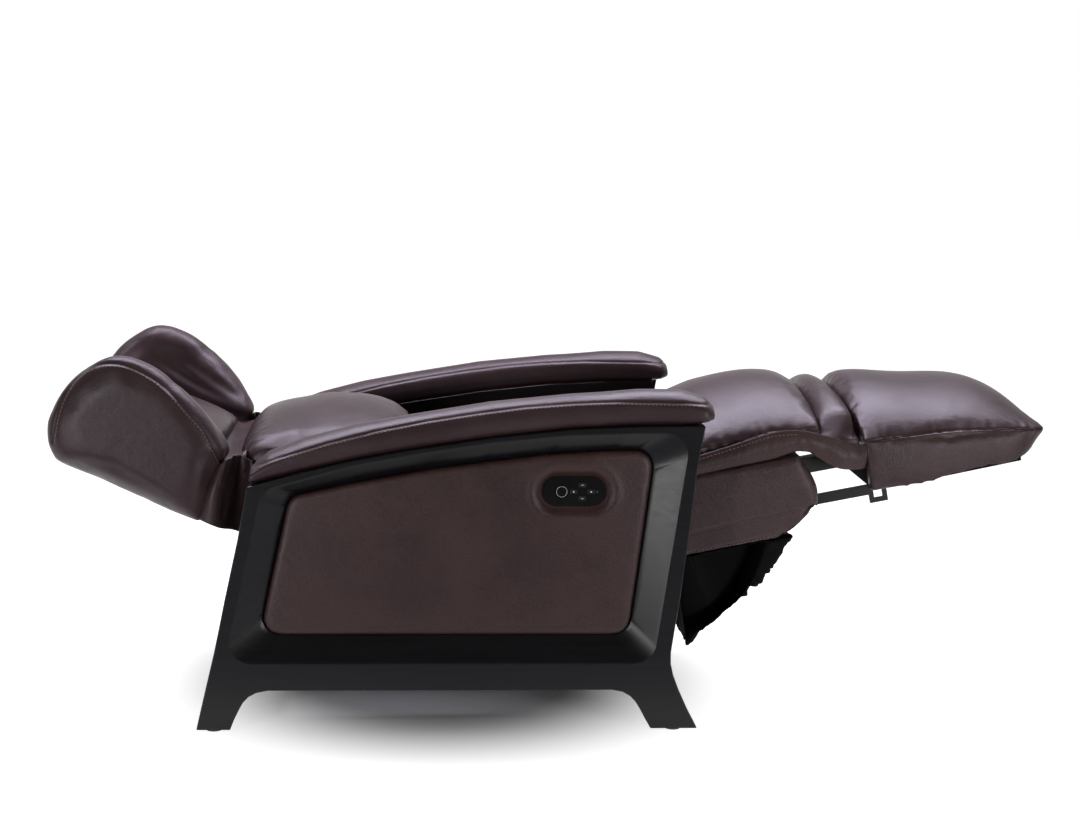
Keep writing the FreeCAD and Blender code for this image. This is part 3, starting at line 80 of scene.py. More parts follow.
class Group:
    """A tilted group of the chair: its hinge, and the directions along and up from it."""

    def __init__(self, hinge, slide):
        self.hinge = np.array(JOINTS[hinge]["pos_m"])
        self.along = np.array(JOINTS[slide]["axis"])
        self.up = np.array((-self.along[2], 0, self.along[0]))

    def local(self, points):
        """Millimetres along and up from the hinge."""
        offset = (points - self.hinge) / MM
        return offset @ self.along, offset @ self.up


BACK = Group("back_recline", "head_drive")
HEAD = Group("head_tilt", "head_drive")


# Objects and meshes
WELD_GAP = 0.01


def only(obj):
    """Selects one object and makes it the active one."""
    bpy.ops.object.select_all(action="DESELECT")
    obj.select_set(True)
    bpy.context.view_layer.objects.active = obj


def apply_modifiers(obj):
    only(obj)
    for modifier in list(obj.modifiers):
        bpy.ops.object.modifier_apply(modifier=modifier.name)


def mesh_piece(name, points, faces):
    mesh = bpy.data.meshes.new(name)
    mesh.from_pydata([tuple(point) for point in points], [], faces)
    piece = bpy.data.objects.new(name, mesh)
    SCENE.collection.objects.link(piece)
    return piece


def copy_of(name, *nodes):
    """A new piece that starts as a copy of CAD solids, with their loose triangles merged."""
    copies = []
    for node in nodes:
        copies.append(bpy.data.objects.new(name, NODES[node].data.copy()))
        SCENE.collection.objects.link(copies[-1])
    only(copies[0])
    for other in copies[1:]:
        other.select_set(True)
    if len(copies) > 1:
        bpy.ops.object.join()
    piece = copies[0]
    bpy.ops.object.mode_set(mode="EDIT")
    bpy.ops.mesh.select_all(action="SELECT")
    bpy.ops.mesh.remove_doubles(threshold=WELD_GAP * MM)
    bpy.ops.object.mode_set(mode="OBJECT")
    piece.data.materials.clear()
    return piece


def mirrored(name, source):
    """A copy on the other side of the chair, turned right side out again."""
    piece = bpy.data.objects.new(name, source.data.copy())
    SCENE.collection.objects.link(piece)
    piece.data.transform(Matrix.Scale(-1, 4, (0, 1, 0)))
    piece.data.flip_normals()
    return piece


def points_of(obj):
    flat = np.empty(len(obj.data.vertices) * 3)
    obj.data.vertices.foreach_get("co", flat)
    return flat.reshape(-1, 3)


def set_points(obj, points):
    obj.data.vertices.foreach_set("co", points.ravel())
    obj.data.update()


def normals_of(obj):
    flat = np.empty(len(obj.data.vertices) * 3)
    obj.data.vertex_normals.foreach_get("vector", flat)
    return flat.reshape(-1, 3)


def push(obj, depth):
    """Moves each point along its normal by a depth in millimetres."""
    set_points(obj, points_of(obj) + normals_of(obj) * (np.asarray(depth) * MM).reshape(-1, 1))


def remesh(obj, voxel):
    only(obj)
    obj.data.remesh_voxel_size = voxel * MM
    bpy.ops.object.voxel_remesh()


def soften(obj, rounds, crisp=None):
    """Rounds the edges, as foam under leather does; crisp is the share by which each point stays."""
    modifier = obj.modifiers.new("soften", "SMOOTH")
    modifier.factor = 0.5
    modifier.iterations = rounds
    if crisp is not None:
        group = obj.vertex_groups.new(name="loose")
        for index, share in enumerate(crisp):
            group.add([index], 1 - float(share), "REPLACE")
        modifier.vertex_group = group.name
    apply_modifiers(obj)
    obj.vertex_groups.clear()


def refine(obj):
    modifier = obj.modifiers.new("refine", "SUBSURF")
    modifier.levels = 1
    modifier.render_levels = 1
    apply_modifiers(obj)
    bpy.ops.object.shade_smooth()


SIM_FRAMES = 16
PRESSURE = 4.0


def stuff(obj, cap):
    """Blows the leather up by cloth simulation; no point moves further than the cap in millimetres."""
    start = points_of(obj)
    cloth = obj.modifiers.new("stuffing", "CLOTH")
    settings = cloth.settings
    settings.quality = 4
    settings.mass = 0.3
    settings.tension_stiffness = 30
    settings.compression_stiffness = 30
    settings.bending_stiffness = 4
    settings.use_pressure = True
    settings.uniform_pressure_force = PRESSURE
    settings.effector_weights.gravity = 0
    cloth.point_cache.frame_start = 1
    cloth.point_cache.frame_end = SIM_FRAMES
    for number in range(1, SIM_FRAMES + 1):
        SCENE.frame_set(number)
    blown = points_of(obj.evaluated_get(bpy.context.evaluated_depsgraph_get()))
    obj.modifiers.remove(cloth)
    SCENE.frame_set(1)
    move = blown - start
    reach = np.linalg.norm(move, axis=1, keepdims=True)
    set_points(obj, start + move * np.minimum(1, cap * MM / np.maximum(reach, 1e-9)))


# Lines along which leather is sewn
def curve_through(points, step=4):
    """A smooth line through a few given points, about one point each step millimetres."""
    spots = np.array(points, float)
    ends = np.vstack([2 * spots[0] - spots[1], spots, 2 * spots[-1] - spots[-2]])
    line = []
    for before, start, end, after in zip(ends, ends[1:], ends[2:], ends[3:]):
        count = max(2, int(np.linalg.norm(end - start) / step))
        share = np.linspace(0, 1, count, endpoint=False).reshape(-1, 1)
        bend = 2 * before - 5 * start + 4 * end - after
        twist = 3 * start - before - 3 * end + after
        line.append(0.5 * (2 * start + (end - before) * share + bend * share ** 2 + twist * share ** 3))
    return np.vstack(line + [spots[-1:]])


def from_line(spots, line):
    """Distance of flat points from a line, and how far along the line each lies, in millimetres."""
    lengths = np.linalg.norm(np.diff(line, axis=0), axis=1)
    run = np.concatenate([[0], np.cumsum(lengths)])
    best = np.full(len(spots), np.inf)
    along = np.zeros(len(spots))
    for index, (start, length) in enumerate(zip(line, lengths)):
        direction = (line[index + 1] - start) / length
        reach = np.clip((spots - start) @ direction, 0, length)
        gap = np.linalg.norm(spots - start - reach[:, None] * direction, axis=1)
        nearer = gap < best
        best[nearer] = gap[nearer]
        along[nearer] = run[index] + reach[nearer]
    return best, along


def side_on(points):
    """The side view of points: along X and up Z, in millimetres."""
    return points[:, [0, 2]] / MM


def groove(obj, gap, depth, width):
    """Draws the leather in along a seam; gap is each point's distance from it in millimetres."""
    push(obj, -depth * np.exp(-(gap / width) ** 2))


def uneven(run, pitch, shift=0.0):
    """An irregular wave of about the given pitch, from minus one to one."""
    turn = 2 * math.pi * run / pitch
    wave = np.sin(turn + 1.7 * np.sin(turn / 3.7 + shift) + shift)
    return wave * (0.65 + 0.35 * np.sin(turn / 2.3 + 2 * shift))


def smooth_step(value, start, end):
    share = np.clip((value - start) / (end - start), 0, 1)
    return share * share * (3 - 2 * share)


def resample(line, count):
    """The line at evenly spaced places."""
    run = np.concatenate([[0], np.cumsum(np.linalg.norm(np.diff(line, axis=0), axis=1))])
    places = np.linspace(0, run[-1], count)
    return np.stack([np.interp(places, run, line[:, axis]) for axis in range(line.shape[1])], axis=1)


SHEET_THICKNESS = 3


def loft(name, curves, along, across, ripple=None):
    """A leather sheet laid smoothly through given curves in millimetres, with its area.

    Along and across count its points; ripple lifts it, by shares along the curves and across them.
    """
    rails = np.array([resample(curve_through(curve), along) for curve in curves])
    grid = np.array([resample(curve_through(rails[:, index]), across) for index in range(along)])
    if ripple is not None:
        normal = np.cross(np.gradient(grid, axis=0), np.gradient(grid, axis=1))
        normal /= np.linalg.norm(normal, axis=2, keepdims=True)
        shares = np.linspace(0, 1, along), np.linspace(0, 1, across)
        lengthways, crossways = np.meshgrid(*shares, indexing="ij")
        grid = grid + normal * ripple(lengthways, crossways)[:, :, None]
    faces = []
    for row in range(along - 1):
        for column in range(across - 1):
            corner = row * across + column
            faces.append((corner, corner + 1, corner + across + 1, corner + across))
    piece = mesh_piece(name, grid.reshape(-1, 3) * MM, faces)
    area = sum(face.area for face in piece.data.polygons)
    skin = piece.modifiers.new("thickness", "SOLIDIFY")
    skin.thickness = SHEET_THICKNESS * MM
    skin.offset = 0
    apply_modifiers(piece)
    bpy.ops.object.shade_smooth()
    return piece, area


def surface_of(obj):
    return BVHTree.FromPolygons([vertex.co for vertex in obj.data.vertices],
                                [tuple(face.vertices) for face in obj.data.polygons])


def trace(surface, starts, direction):
    """Where rays meet a surface: points with normals."""
    hits = []
    for start in starts:
        spot, normal, _, _ = surface.ray_cast(Vector(start), Vector(direction))
        if spot is not None:
            hits.append((spot, normal))
    return hits


THREAD_LENGTH = 5.0
THREAD_GAP = 2.4
THREAD_WIDTH = 1.5


def stitches(name, hits):
    """A row of raised thread stitches along traced points, each a small spindle."""
    bpy.ops.object.select_all(action="DESELECT")
    bpy.ops.mesh.primitive_uv_sphere_add(segments=6, ring_count=4, radius=0.5)
    spindle = bpy.context.object
    spindle.data.transform(Matrix.Rotation(math.pi / 2, 4, "Y"))
    spindle.data.transform(Matrix.Diagonal((THREAD_LENGTH * MM, THREAD_WIDTH * MM, THREAD_WIDTH * MM, 1)))
    shape = points_of(spindle)
    faces = [tuple(face.vertices) for face in spindle.data.polygons]
    bpy.data.objects.remove(spindle)
    spots = np.array([spot for spot, _ in hits])
    normals = np.array([normal for _, normal in hits])
    run = np.concatenate([[0], np.cumsum(np.linalg.norm(np.diff(spots, axis=0), axis=1))])
    points = []
    rings = []
    margin = THREAD_LENGTH * MM
    for place in np.arange(margin, run[-1] - margin, (THREAD_LENGTH + THREAD_GAP) * MM):
        middle = np.array([np.interp(place, run, spots[:, axis]) for axis in range(3)])
        ahead = np.array([np.interp(place + THREAD_GAP * MM, run, spots[:, axis]) for axis in range(3)])
        normal = normals[min(len(run) - 1, int(np.searchsorted(run, place)))]
        forward = (ahead - middle) / np.linalg.norm(ahead - middle)
        side = np.cross(normal, forward)
        side /= np.linalg.norm(side)
        turn = np.stack([forward, side, np.cross(forward, side)])
        rings += [tuple(index + len(points) for index in face) for face in faces]
        points += list(shape @ turn + middle)
    piece = mesh_piece(name, points, rings)
    only(piece)
    bpy.ops.object.shade_smooth()
    return piece


def piping(name, spots, radius):
    """A round line along points in metres."""
    curve = bpy.data.curves.new(name, "CURVE")
    curve.dimensions = "3D"
    curve.bevel_depth = radius * MM
    curve.bevel_resolution = 3
    curve.use_fill_caps = True
    spline = curve.splines.new("POLY")
    spline.points.add(len(spots) - 1)
    for point, spot in zip(spline.points, spots):
        point.co = (*spot, 1)
    shape = bpy.data.objects.new(name, curve)
    SCENE.collection.objects.link(shape)
    mesh = bpy.data.meshes.new_from_object(shape)
    bpy.data.objects.remove(shape)
    piece = bpy.data.objects.new(name, mesh)
    SCENE.collection.objects.link(piece)
    only(piece)
    bpy.ops.object.shade_smooth()
    return piece


# Materials
def linear(code):
    """An sRGB hex colour as linear light."""
    channels = [int(code[place:place + 2], 16) / 255 for place in (0, 2, 4)]
    lights = [value / 12.92 if value <= 0.04045 else ((value + 0.055) / 1.055) ** 2.4 for value in channels]
    return (*lights, 1)


def add(tree, kind, values=None, links=None, **settings):
    """Adds a node: settings are its properties, values its sockets, links the sockets that others feed."""
    item = tree.nodes.new("ShaderNode" + kind)
    for key, value in settings.items():
        setattr(item, key, value)
    for key, value in (values or {}).items():
        item.inputs[key].default_value = value
    for key, (source, output) in (links or {}).items():
        tree.links.new(source.outputs[output], item.inputs[key])
    return item


def per_metre(size):
    """The scale of a pattern whose grain has the given size in millimetres."""
    return 1 / (size * MM)


def new_material(name):
    material = bpy.data.materials.new(name)
    material.use_nodes = True
    tree = material.node_tree
    tree.nodes.clear()
    return material, tree


def close(tree, shader):
    add(tree, "OutputMaterial", links={"Surface": (shader, "BSDF")})


# The leather's gloss is slightly blue, and its slow wrinkles are this deep and wide
LUSTRE = "f5f0fb"
WRINKLE = 1.6
WRINKLE_SIZE = 38
CLOUD_SIZE = 140


def leather(name, dark, light, grain, relief, rough):
    """Dyed and pigmented cowhide: a pebbled grain, soft satin gloss, slow changes of tone and painted shade
    in the grain's creases.
    """
    material, tree = new_material(name)
    place = add(tree, "TexCoord")
    # Real pebbles of about 1 mm are drawn coarser, so that they show in the render
    pebbles = add(tree, "TexVoronoi", {"Scale": per_metre(grain), "Randomness": 1.0},
                  {"Vector": (place, "Object")}, feature="DISTANCE_TO_EDGE")
    crease = add(tree, "MapRange", {"From Min": 0.0, "From Max": 0.22, "To Min": 0.0, "To Max": 1.0},
                 {"Value": (pebbles, "Distance")}, interpolation_type="SMOOTHSTEP")
    pores = add(tree, "TexNoise", {"Scale": per_metre(grain * 0.35), "Detail": 3.0},
                {"Vector": (place, "Object")})
    skin = add(tree, "Math", {1: 0.35}, {0: (pores, "Fac"), 2: (crease, "Result")}, operation="MULTIPLY_ADD")
    tone = add(tree, "TexNoise", {"Scale": per_metre(CLOUD_SIZE), "Detail": 4.0, "Roughness": 0.6},
               {"Vector": (place, "Object")})
    shade = add(tree, "MapRange", {"From Min": 0.3, "From Max": 0.7}, {"Value": (tone, "Fac")})
    dye = add(tree, "Mix", {6: linear(dark), 7: linear(light)}, {0: (shade, "Result")}, data_type="RGBA")
    # Painted shade: the colour is darkened in the creases between the pebbles, where shade falls
    painted_crease_shade = add(tree, "MapRange", {"To Min": 0.72, "To Max": 1.0}, {"Value": (crease, "Result")})
    colour = add(tree, "Mix", {0: 1.0}, {6: (dye, 2), 7: (painted_crease_shade, "Result")},
                 data_type="RGBA", blend_type="MULTIPLY")
    gloss = add(tree, "MapRange",
                {"From Min": 0.3, "From Max": 0.7, "To Min": rough - 0.05, "To Max": rough + 0.07},
                {"Value": (tone, "Fac")})
    wrinkle = add(tree, "TexNoise",
                  {"Scale": per_metre(WRINKLE_SIZE), "Detail": 3.0, "Roughness": 0.55, "Distortion": 0.8},
                  {"Vector": (place, "Object")})
    slack = add(tree, "Bump", {"Strength": 0.5, "Distance": WRINKLE * MM}, {"Height": (wrinkle, "Fac")})
    bump = add(tree, "Bump", {"Strength": 0.6, "Distance": relief * MM},
               {"Height": (skin, "Value"), "Normal": (slack, "Normal")})
    shader = add(tree, "BsdfPrincipled", {"Specular IOR Level": 0.4, "Specular Tint": linear(LUSTRE)},
                 {"Base Color": (colour, 2), "Roughness": (gloss, "Result"), "Normal": (bump, "Normal")})
    close(tree, shader)
    return material


def grained(name, dark, light, stretch, size, rough, relief=0.05, metallic=0.0, spread=0.06, shine=0.5):
    """A finish with a drawn out grain: stained wood, brushed or plated metal, board."""
    material, tree = new_material(name)
    place = add(tree, "TexCoord")
    drawn = add(tree, "Mapping", {"Scale": stretch}, {"Vector": (place, "Object")})
    fibre = add(tree, "TexNoise", {"Scale": per_metre(size), "Detail": 5.0, "Roughness": 0.6},
                {"Vector": (drawn, "Vector")})
    shade = add(tree, "MapRange", {"From Min": 0.3, "From Max": 0.7}, {"Value": (fibre, "Fac")})
    colour = add(tree, "Mix", {6: linear(dark), 7: linear(light)}, {0: (shade, "Result")}, data_type="RGBA")
    gloss = add(tree, "MapRange",
                {"From Min": 0.3, "From Max": 0.7, "To Min": rough - spread, "To Max": rough + spread},
                {"Value": (fibre, "Fac")})
    bump = add(tree, "Bump", {"Strength": 0.4, "Distance": relief * MM}, {"Height": (fibre, "Fac")})
    shader = add(tree, "BsdfPrincipled", {"Metallic": metallic, "Specular IOR Level": shine},
                 {"Base Color": (colour, 2), "Roughness": (gloss, "Result"), "Normal": (bump, "Normal")})
    close(tree, shader)
    return material


EVEN = (1.0, 1.0, 1.0)
ALONG_X = (0.06, 1.0, 1.0)
HIDE = leather("pigmented_cowhide", "372829", "412f2f", 2.4, 0.12, 0.39)
PANEL_HIDE = leather("pebbled_cowhide", "3b2a28", "47322e", 3.2, 0.22, 0.40)
# A copy of the leather with a coarser grain, painted lighter for the light that falls on the front facing
# sides of the seat and footrest
BOXING_HIDE_PAINTED_LIGHT = leather("boxing_cowhide_painted_light", "3f2e2c", "4c3936", 3.2, 0.20, 0.40)
# Close grained hardwood under a black satin stain: faint long fibres, soft gloss
WOOD = grained("black_stained_beech", "0e0d0f", "141316", ALONG_X, 9, 0.30,
               relief=0.012, spread=0.02, shine=0.32)
# Softwood and board that nobody sees: pale brown with long fibres
BOARD = grained("pine_board", "7a5a3a", "94714a", ALONG_X, 8, 0.7, relief=0.15)
# Baked powder on steel: near black with a fine orange peel
POWDER = grained("black_powder_coat", "0c0c0d", "121214", EVEN, 1.6, 0.42, relief=0.05, shine=0.35)
# Zinc plate: bright, slightly clouded metal
ZINC = grained("zinc_plated_steel", "8f9092", "b4b5b6", EVEN, 6, 0.32, relief=0.02, metallic=1.0)
# Moulded ABS: fine spark eroded texture
ABS = grained("moulded_black_abs", "0c0c0d", "131315", EVEN, 1.2, 0.5, relief=0.06, shine=0.35)
# Polished ABS: almost a mirror, with slight haze
GLOSS = grained("polished_black_abs", "060607", "0a0a0b", EVEN, 30, 0.16,
                relief=0.005, spread=0.03, shine=0.3)
# Thin black cloth of pressed fibres, without any gloss
CLOTH = grained("non_woven_polypropylene", "050506", "0a0a0c", EVEN, 1.8, 0.6, relief=0.25, shine=0.08)
CIRCUIT = grained("green_circuit_board", "0f3a22", "1c5a36", EVEN, 4, 0.35, relief=0.05)
LENS = grained("smoked_acrylic", "3c3c40", "4a4a50", EVEN, 12, 0.1, relief=0.005)
NYLON = grained("grey_nylon", "2a2a2c", "343438", EVEN, 2, 0.55, relief=0.05)
THREAD = grained("polyester_thread", "6f5750", "8d746b", EVEN, 0.8, 0.7, relief=0.1)
PRINT = grained("white_pad_print", "c9c9cc", "dedee0", EVEN, 3, 0.6, relief=0.01)

FINISHES = {
    "black_wood": WOOD, "frame_board": BOARD, "black_steel": POWDER, "zinc": ZINC, "matte_black": ABS,
    "gloss_black": GLOSS, "cover_cloth": CLOTH, "circuit": CIRCUIT, "lens": LENS,
    "brown_leather": HIDE, "panel_leather": PANEL_HIDE,
}
for part in frame["record"]["subparts"]:
    node = NODES[part["node"]]
    node.data.materials.clear()
    node.data.materials.append(FINISHES[part["material_slot"]])
NODES["foot_glides"].data.materials[0] = NYLON
NODES["footrest_board"].data.materials[0] = CLOTH


def finish_piece(piece, finish, body, slot, *nodes):
    """Gives a piece its finish, its body and the CAD nodes that it stands for."""
    piece.data.materials.clear()
    piece.data.materials.append(finish)
    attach(piece, body)
    if nodes:
        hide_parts(*nodes)


RAY_START = 0.6


def side_stitches(name, piece, side, line, body):
    """Stitches on the outer side of a piece, along a line of the side view in millimetres."""
    starts = [(x * MM, side * RAY_START, z * MM) for x, z in line]
    hits = trace(surface_of(piece), starts, (0, -side, 0))
    finish_piece(stitches(name, hits), THREAD, body, "brown_leather")


# Wood: edges eased as by sandpaper
EASED_ANGLE = 28


def ease_edges(node, width):
    obj = NODES[node]
    weld = obj.modifiers.new("weld", "WELD")
    weld.merge_threshold = WELD_GAP * MM
    bevel = obj.modifiers.new("eased", "BEVEL")
    bevel.width = width * MM
    bevel.segments = 2
    bevel.limit_method = "ANGLE"
    bevel.angle_limit = math.radians(EASED_ANGLE)
    bevel.harden_normals = False


for side in ("right", "left"):
    ease_edges(f"side_frame_{side}", 2.0)
    ease_edges(f"inner_panel_{side}", 1.5)


# Side panels: leather over a thin pad, pillowed and drawn in at the rim
PANEL_CROWN = 8.0
PANEL_FLATNESS = 0.35
CONTROL_DIMPLE = 11
CONTROL_SWELL = 2
CONTROL_RECESS = 8


def side_panel():
    """The left panel, which has no control, crowned on its outer face."""
    piece = copy_of("leather_side_panel_left", "side_panel_left")
    remesh(piece, 5)
    soften(piece, 9)
    refine(piece)
    points = points_of(piece)
    low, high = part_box("side_panel_left")
    across = np.clip((points[:, 0] - low.x) / (high.x - low.x), 0, 1)
    rise = np.clip((points[:, 2] - low.z) / (high.z - low.z), 0, 1)
    crown = (4 * across * (1 - across) * 4 * rise * (1 - rise)) ** PANEL_FLATNESS
    outer = points[:, 1] > (low.y + high.y) / 2
    points[:, 1] += np.where(outer, PANEL_CROWN * MM * crown, 0)
    set_points(piece, points)
    return piece


def seat_control(piece):
    """Draws the leather in round the control panel and makes room behind it for the buttons' travel."""
    low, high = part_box("control_panel")
    middle = (low + high) / 2
    radius = (high.z - low.z) / 2
    points = points_of(piece)
    beyond = np.maximum(0, np.abs(points[:, 0] - middle.x) - ((high.x - low.x) / 2 - radius))
    ring = (np.hypot(beyond, points[:, 2] - middle.z) - radius) / MM
    dimple = CONTROL_DIMPLE / (1 + np.exp((ring - 8) / 3.0))
    swell = CONTROL_SWELL * np.exp(-((ring - 22) / 8) ** 2)
    recess = CONTROL_RECESS / (1 + np.exp((ring + 5) / 1.5))
    outer = points[:, 1] < high.y
    points[:, 1] += np.where(outer, (dimple - swell + recess) * MM, 0)
    set_points(piece, points)


panel_left = side_panel()
panel_right = mirrored("leather_side_panel_right", panel_left)
seat_control(panel_right)
finish_piece(panel_right, PANEL_HIDE, "base", "panel_leather", "side_panel_right")
finish_piece(panel_left, PANEL_HIDE, "base", "panel_leather", "side_panel_left")


# Padded pieces
def pad(name, nodes, voxel, rounds, cap, inset=2.0, shape=None, crisp=None, calm=3):
    """A copy of CAD solids, shaped, stuffed and smoothed.

    Voxel, cap and inset are in millimetres; rounds and calm smooth it before and after the stuffing.
    """
    piece = copy_of(name, *nodes)
    push(piece, -inset)
    remesh(piece, voxel)
    if shape:
        shape(piece)
    soften(piece, rounds, crisp(points_of(piece)) if crisp else None)
    stuff(piece, cap)
    soften(piece, calm, crisp(points_of(piece)) if crisp else None)
    refine(piece)
    return piece


# Arm pads: stuffed leather with a stitched seam round the upper edge
ARM_SEAM = [(-556, 480), (-507, 499), (-417, 527), (-326, 550), (-236, 568), (-144, 583), (-63, 594),
            (19, 601), (102, 605), (226, 604), (272, 600)]
ARM_STITCHED = (-548, 270)
ARM_STITCH_DROP = 4
NOSE_RISE = 4
NOSE_REACH = 5


def height_on(line, x):
    """Height of a side view line at x."""
    return np.interp(x, [spot[0] for spot in line], [spot[1] for spot in line])


def shape_arm(piece):
    """Fills the bullnose at the front."""
    points = points_of(piece)
    x, z = points[:, 0] / MM, points[:, 2] / MM
    points[:, 2] += NOSE_RISE * MM * smooth_step(x, 60, 235) * smooth_step(z, 565, 605)
    points[:, 0] += NOSE_REACH * MM * smooth_step(x, 215, 265)
    set_points(piece, points)


arm_right = pad("leather_arm_pad_right", ["arm_pad_right"], voxel=5, rounds=4, cap=4.0, shape=shape_arm)
flat = side_on(points_of(arm_right))
groove(arm_right, flat[:, 1] - height_on(ARM_SEAM, flat[:, 0]), depth=1.5, width=2.2)
arm_left = mirrored("leather_arm_pad_left", arm_right)
for (side, word), piece in zip(SIDES, (arm_right, arm_left)):
    finish_piece(piece, HIDE, "base", "brown_leather", f"arm_pad_{word}")
    row = [(x, height_on(ARM_SEAM, x) - ARM_STITCH_DROP) for x in np.linspace(*ARM_STITCHED, 200)]
    side_stitches(f"arm_stitches_{word}", piece, side, row, "base")


# Head section: two large wings with a sewn edge, the cushion between them and the leather back
WING_SEAM = [(-906, 520), (-899, 560), (-886, 600), (-864, 634), (-831, 657), (-789, 662), (-747, 648),
             (-705, 620), (-663, 575), (-635, 541), (-616, 502), (-606, 470)]
WING_MIDDLE = np.array((-760, 520))
WING_STITCH_INSET = 5
# Folds on the inner face, along and up from the head's hinge
WING_FOLDS = [
    [(-250, 78), (-150, 60), (-20, 50)],
    [(-215, 104), (-120, 78), (-18, 58)],
    [(-150, 122), (-90, 96), (-14, 68)],
]
WING_COVE = 46
WING_DROP = 11
FOLD_LIFT = 3.5
FOLD_WIDTH = 10
# Stands for a place that no seam reaches
FAR = 1e3


def shape_wing(piece):
    """Runs the inner face out into the head cushion in a hollow curve and drops the lower front corner."""
    low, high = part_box("wing_right")
    points = points_of(piece)
    along, up = HEAD.local(points)
    inner = smooth_step((points[:, 1] - low.y) / (high.y - low.y), 0.4, 1.0)
    foot = np.clip((150 - up) / 130, 0, 1)
    points[:, 1] += WING_COVE * MM * inner * foot ** 2
    corner = smooth_step(along, -260, -20) * smooth_step(-up, -20, 30)
    points[:, 2] -= WING_DROP * MM * corner
    set_points(piece, points)


wing_right = pad("leather_wing_right", ["wing_right"], voxel=6, rounds=8, cap=6.0,
                 inset=-5.0, shape=shape_wing, calm=12)
points = points_of(wing_right)
spots = np.stack(HEAD.local(points), axis=1)
inner = smooth_step(points[:, 1] / MM, -300, -280)
lift = np.zeros(len(points))
for fold in WING_FOLDS:
    gap, run = from_line(spots, curve_through(fold))
    lift += FOLD_LIFT * np.exp(-(gap / FOLD_WIDTH) ** 2) * smooth_step(run, 0, 60)
push(wing_right, lift * inner)
points = points_of(wing_right)
gap, _ = from_line(side_on(points), curve_through(WING_SEAM))
groove(wing_right, np.where(points[:, 1] / MM < -296, gap, FAR), depth=2.6, width=3.0)
wing_left = mirrored("leather_wing_left", wing_right)
stitched = []
for spot in WING_SEAM:
    inward = WING_MIDDLE - spot
    stitched.append(spot + inward / np.linalg.norm(inward) * WING_STITCH_INSET)
for (side, word), piece in zip(SIDES, (wing_right, wing_left)):
    finish_piece(piece, HIDE, "head", "brown_leather", f"wing_{word}")
    side_stitches(f"wing_stitches_{word}", piece, side, curve_through(stitched), "head")

head_pad = pad("leather_head_cushion", ["head_cushion"], voxel=6, rounds=6, cap=8.0)
finish_piece(head_pad, HIDE, "head", "brown_leather", "head_cushion")


def leather_board(name, node, body):
    """A board covered with thinly padded leather."""
    piece = copy_of(name, node)
    remesh(piece, 5)
    soften(piece, 5)
    refine(piece)
    finish_piece(piece, HIDE, body, "brown_leather", node)


leather_board("leather_head_panel", "head_panel", "head")
leather_board("leather_back_panel", "back_panel", "back")


# Back cushion: a roll, drawn towards the head and gathered into pleats there
# Outlines of the solid and of the roll: degrees of lean about the hinge and millimetres from it
BACK_PLAIN = [(-45, 238), (-40, 246), (-30, 252), (-20, 252), (-10, 248), (0, 243), (10, 241), (20, 239),
              (30, 233), (37, 214)]
BACK_FULL = [(-46, 252), (-40, 262), (-32, 252), (-10, 231), (13, 226), (28, 231), (38, 233), (49, 222),
             (57, 202)]
BACK_CORE = 72
BACK_HALF = 254
BACK_PLEAT = 5.5
BACK_PLEAT_PITCH = 27


def lean_of(points):
    """Distance from the back's hinge, and the angle from upright towards the head in degrees."""
    offset = (points - BACK.hinge) / MM
    return np.hypot(offset[:, 0], offset[:, 2]), np.degrees(np.arctan2(-offset[:, 0], offset[:, 2]))


def shape_back(piece):
    """Draws the roll out towards the head, lower at its flanks and full again at the head end."""
    points = points_of(piece)
    reach, lean = lean_of(points)
    plain = height_on(BACK_PLAIN, lean)
    lean = lean + np.maximum(0, lean - 20) * 1.1
    flank = (points[:, 1] / MM / BACK_HALF) ** 2
    full = height_on(BACK_FULL, lean) + flank * (-26 + 30 * smooth_step(lean, 15, 40))
    full -= 16 * smooth_step(np.abs(points[:, 1]) / MM, 205, BACK_HALF) ** 2
    reach = BACK_CORE + (reach - BACK_CORE) * (full - BACK_CORE) / (plain - BACK_CORE)
    turn = np.radians(lean)
    points[:, 0] = BACK.hinge[0] - np.sin(turn) * reach * MM
    points[:, 2] = BACK.hinge[2] + np.cos(turn) * reach * MM
    points[:, 1] *= 1 + 0.05 * smooth_step(lean, -20, 10) - 0.03 * smooth_step(-lean, 15, 35)
    set_points(piece, points)


back_pad = pad("leather_back_cushion", ["back_cushion"], voxel=6, rounds=11, cap=4.0, shape=shape_back)
reach, lean = lean_of(points_of(back_pad))
pleats = smooth_step(lean, 24, 44) * smooth_step(reach, 110, 190)
across = points_of(back_pad)[:, 1] / MM
push(back_pad, -BACK_PLEAT * pleats * (0.5 + 0.5 * uneven(across, BACK_PLEAT_PITCH, 0.6)))
finish_piece(back_pad, HIDE, "back", "brown_leather", "back_cushion")


# Leather that closes the gaps between back and head section
NECK = [(-568, 480), (-592, 466), (-622, 464), (-640, 485)]
# The strip's height across the chair, from its middle to its end
NECK_FALL = [(0, 0), (120, 1), (195, 6), (235, 13), (258, 13), (270, 0), (275, -20)]


def neck_strip():
    """A strip across the chair between head and back, which turns down beside the wings."""
    ends = [(-y, fall) for y, fall in NECK_FALL[:0:-1]] + NECK_FALL
    curves = [[(x, y, z + fall) for y, fall in ends] for x, z in NECK]
    return loft("leather_neck_strip", curves, along=90, across=14)


neck, neck_area = neck_strip()
finish_piece(neck, HIDE, "back", "brown_leather")
neck.parent = None
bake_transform(neck)


GUSSET_PLEAT_DEPTH = 2.4
GUSSET_PLEAT_COUNT = 5
GUSSET_CREASE_DEPTH = 5
GUSSET_CREASE_WIDTH = 0.06


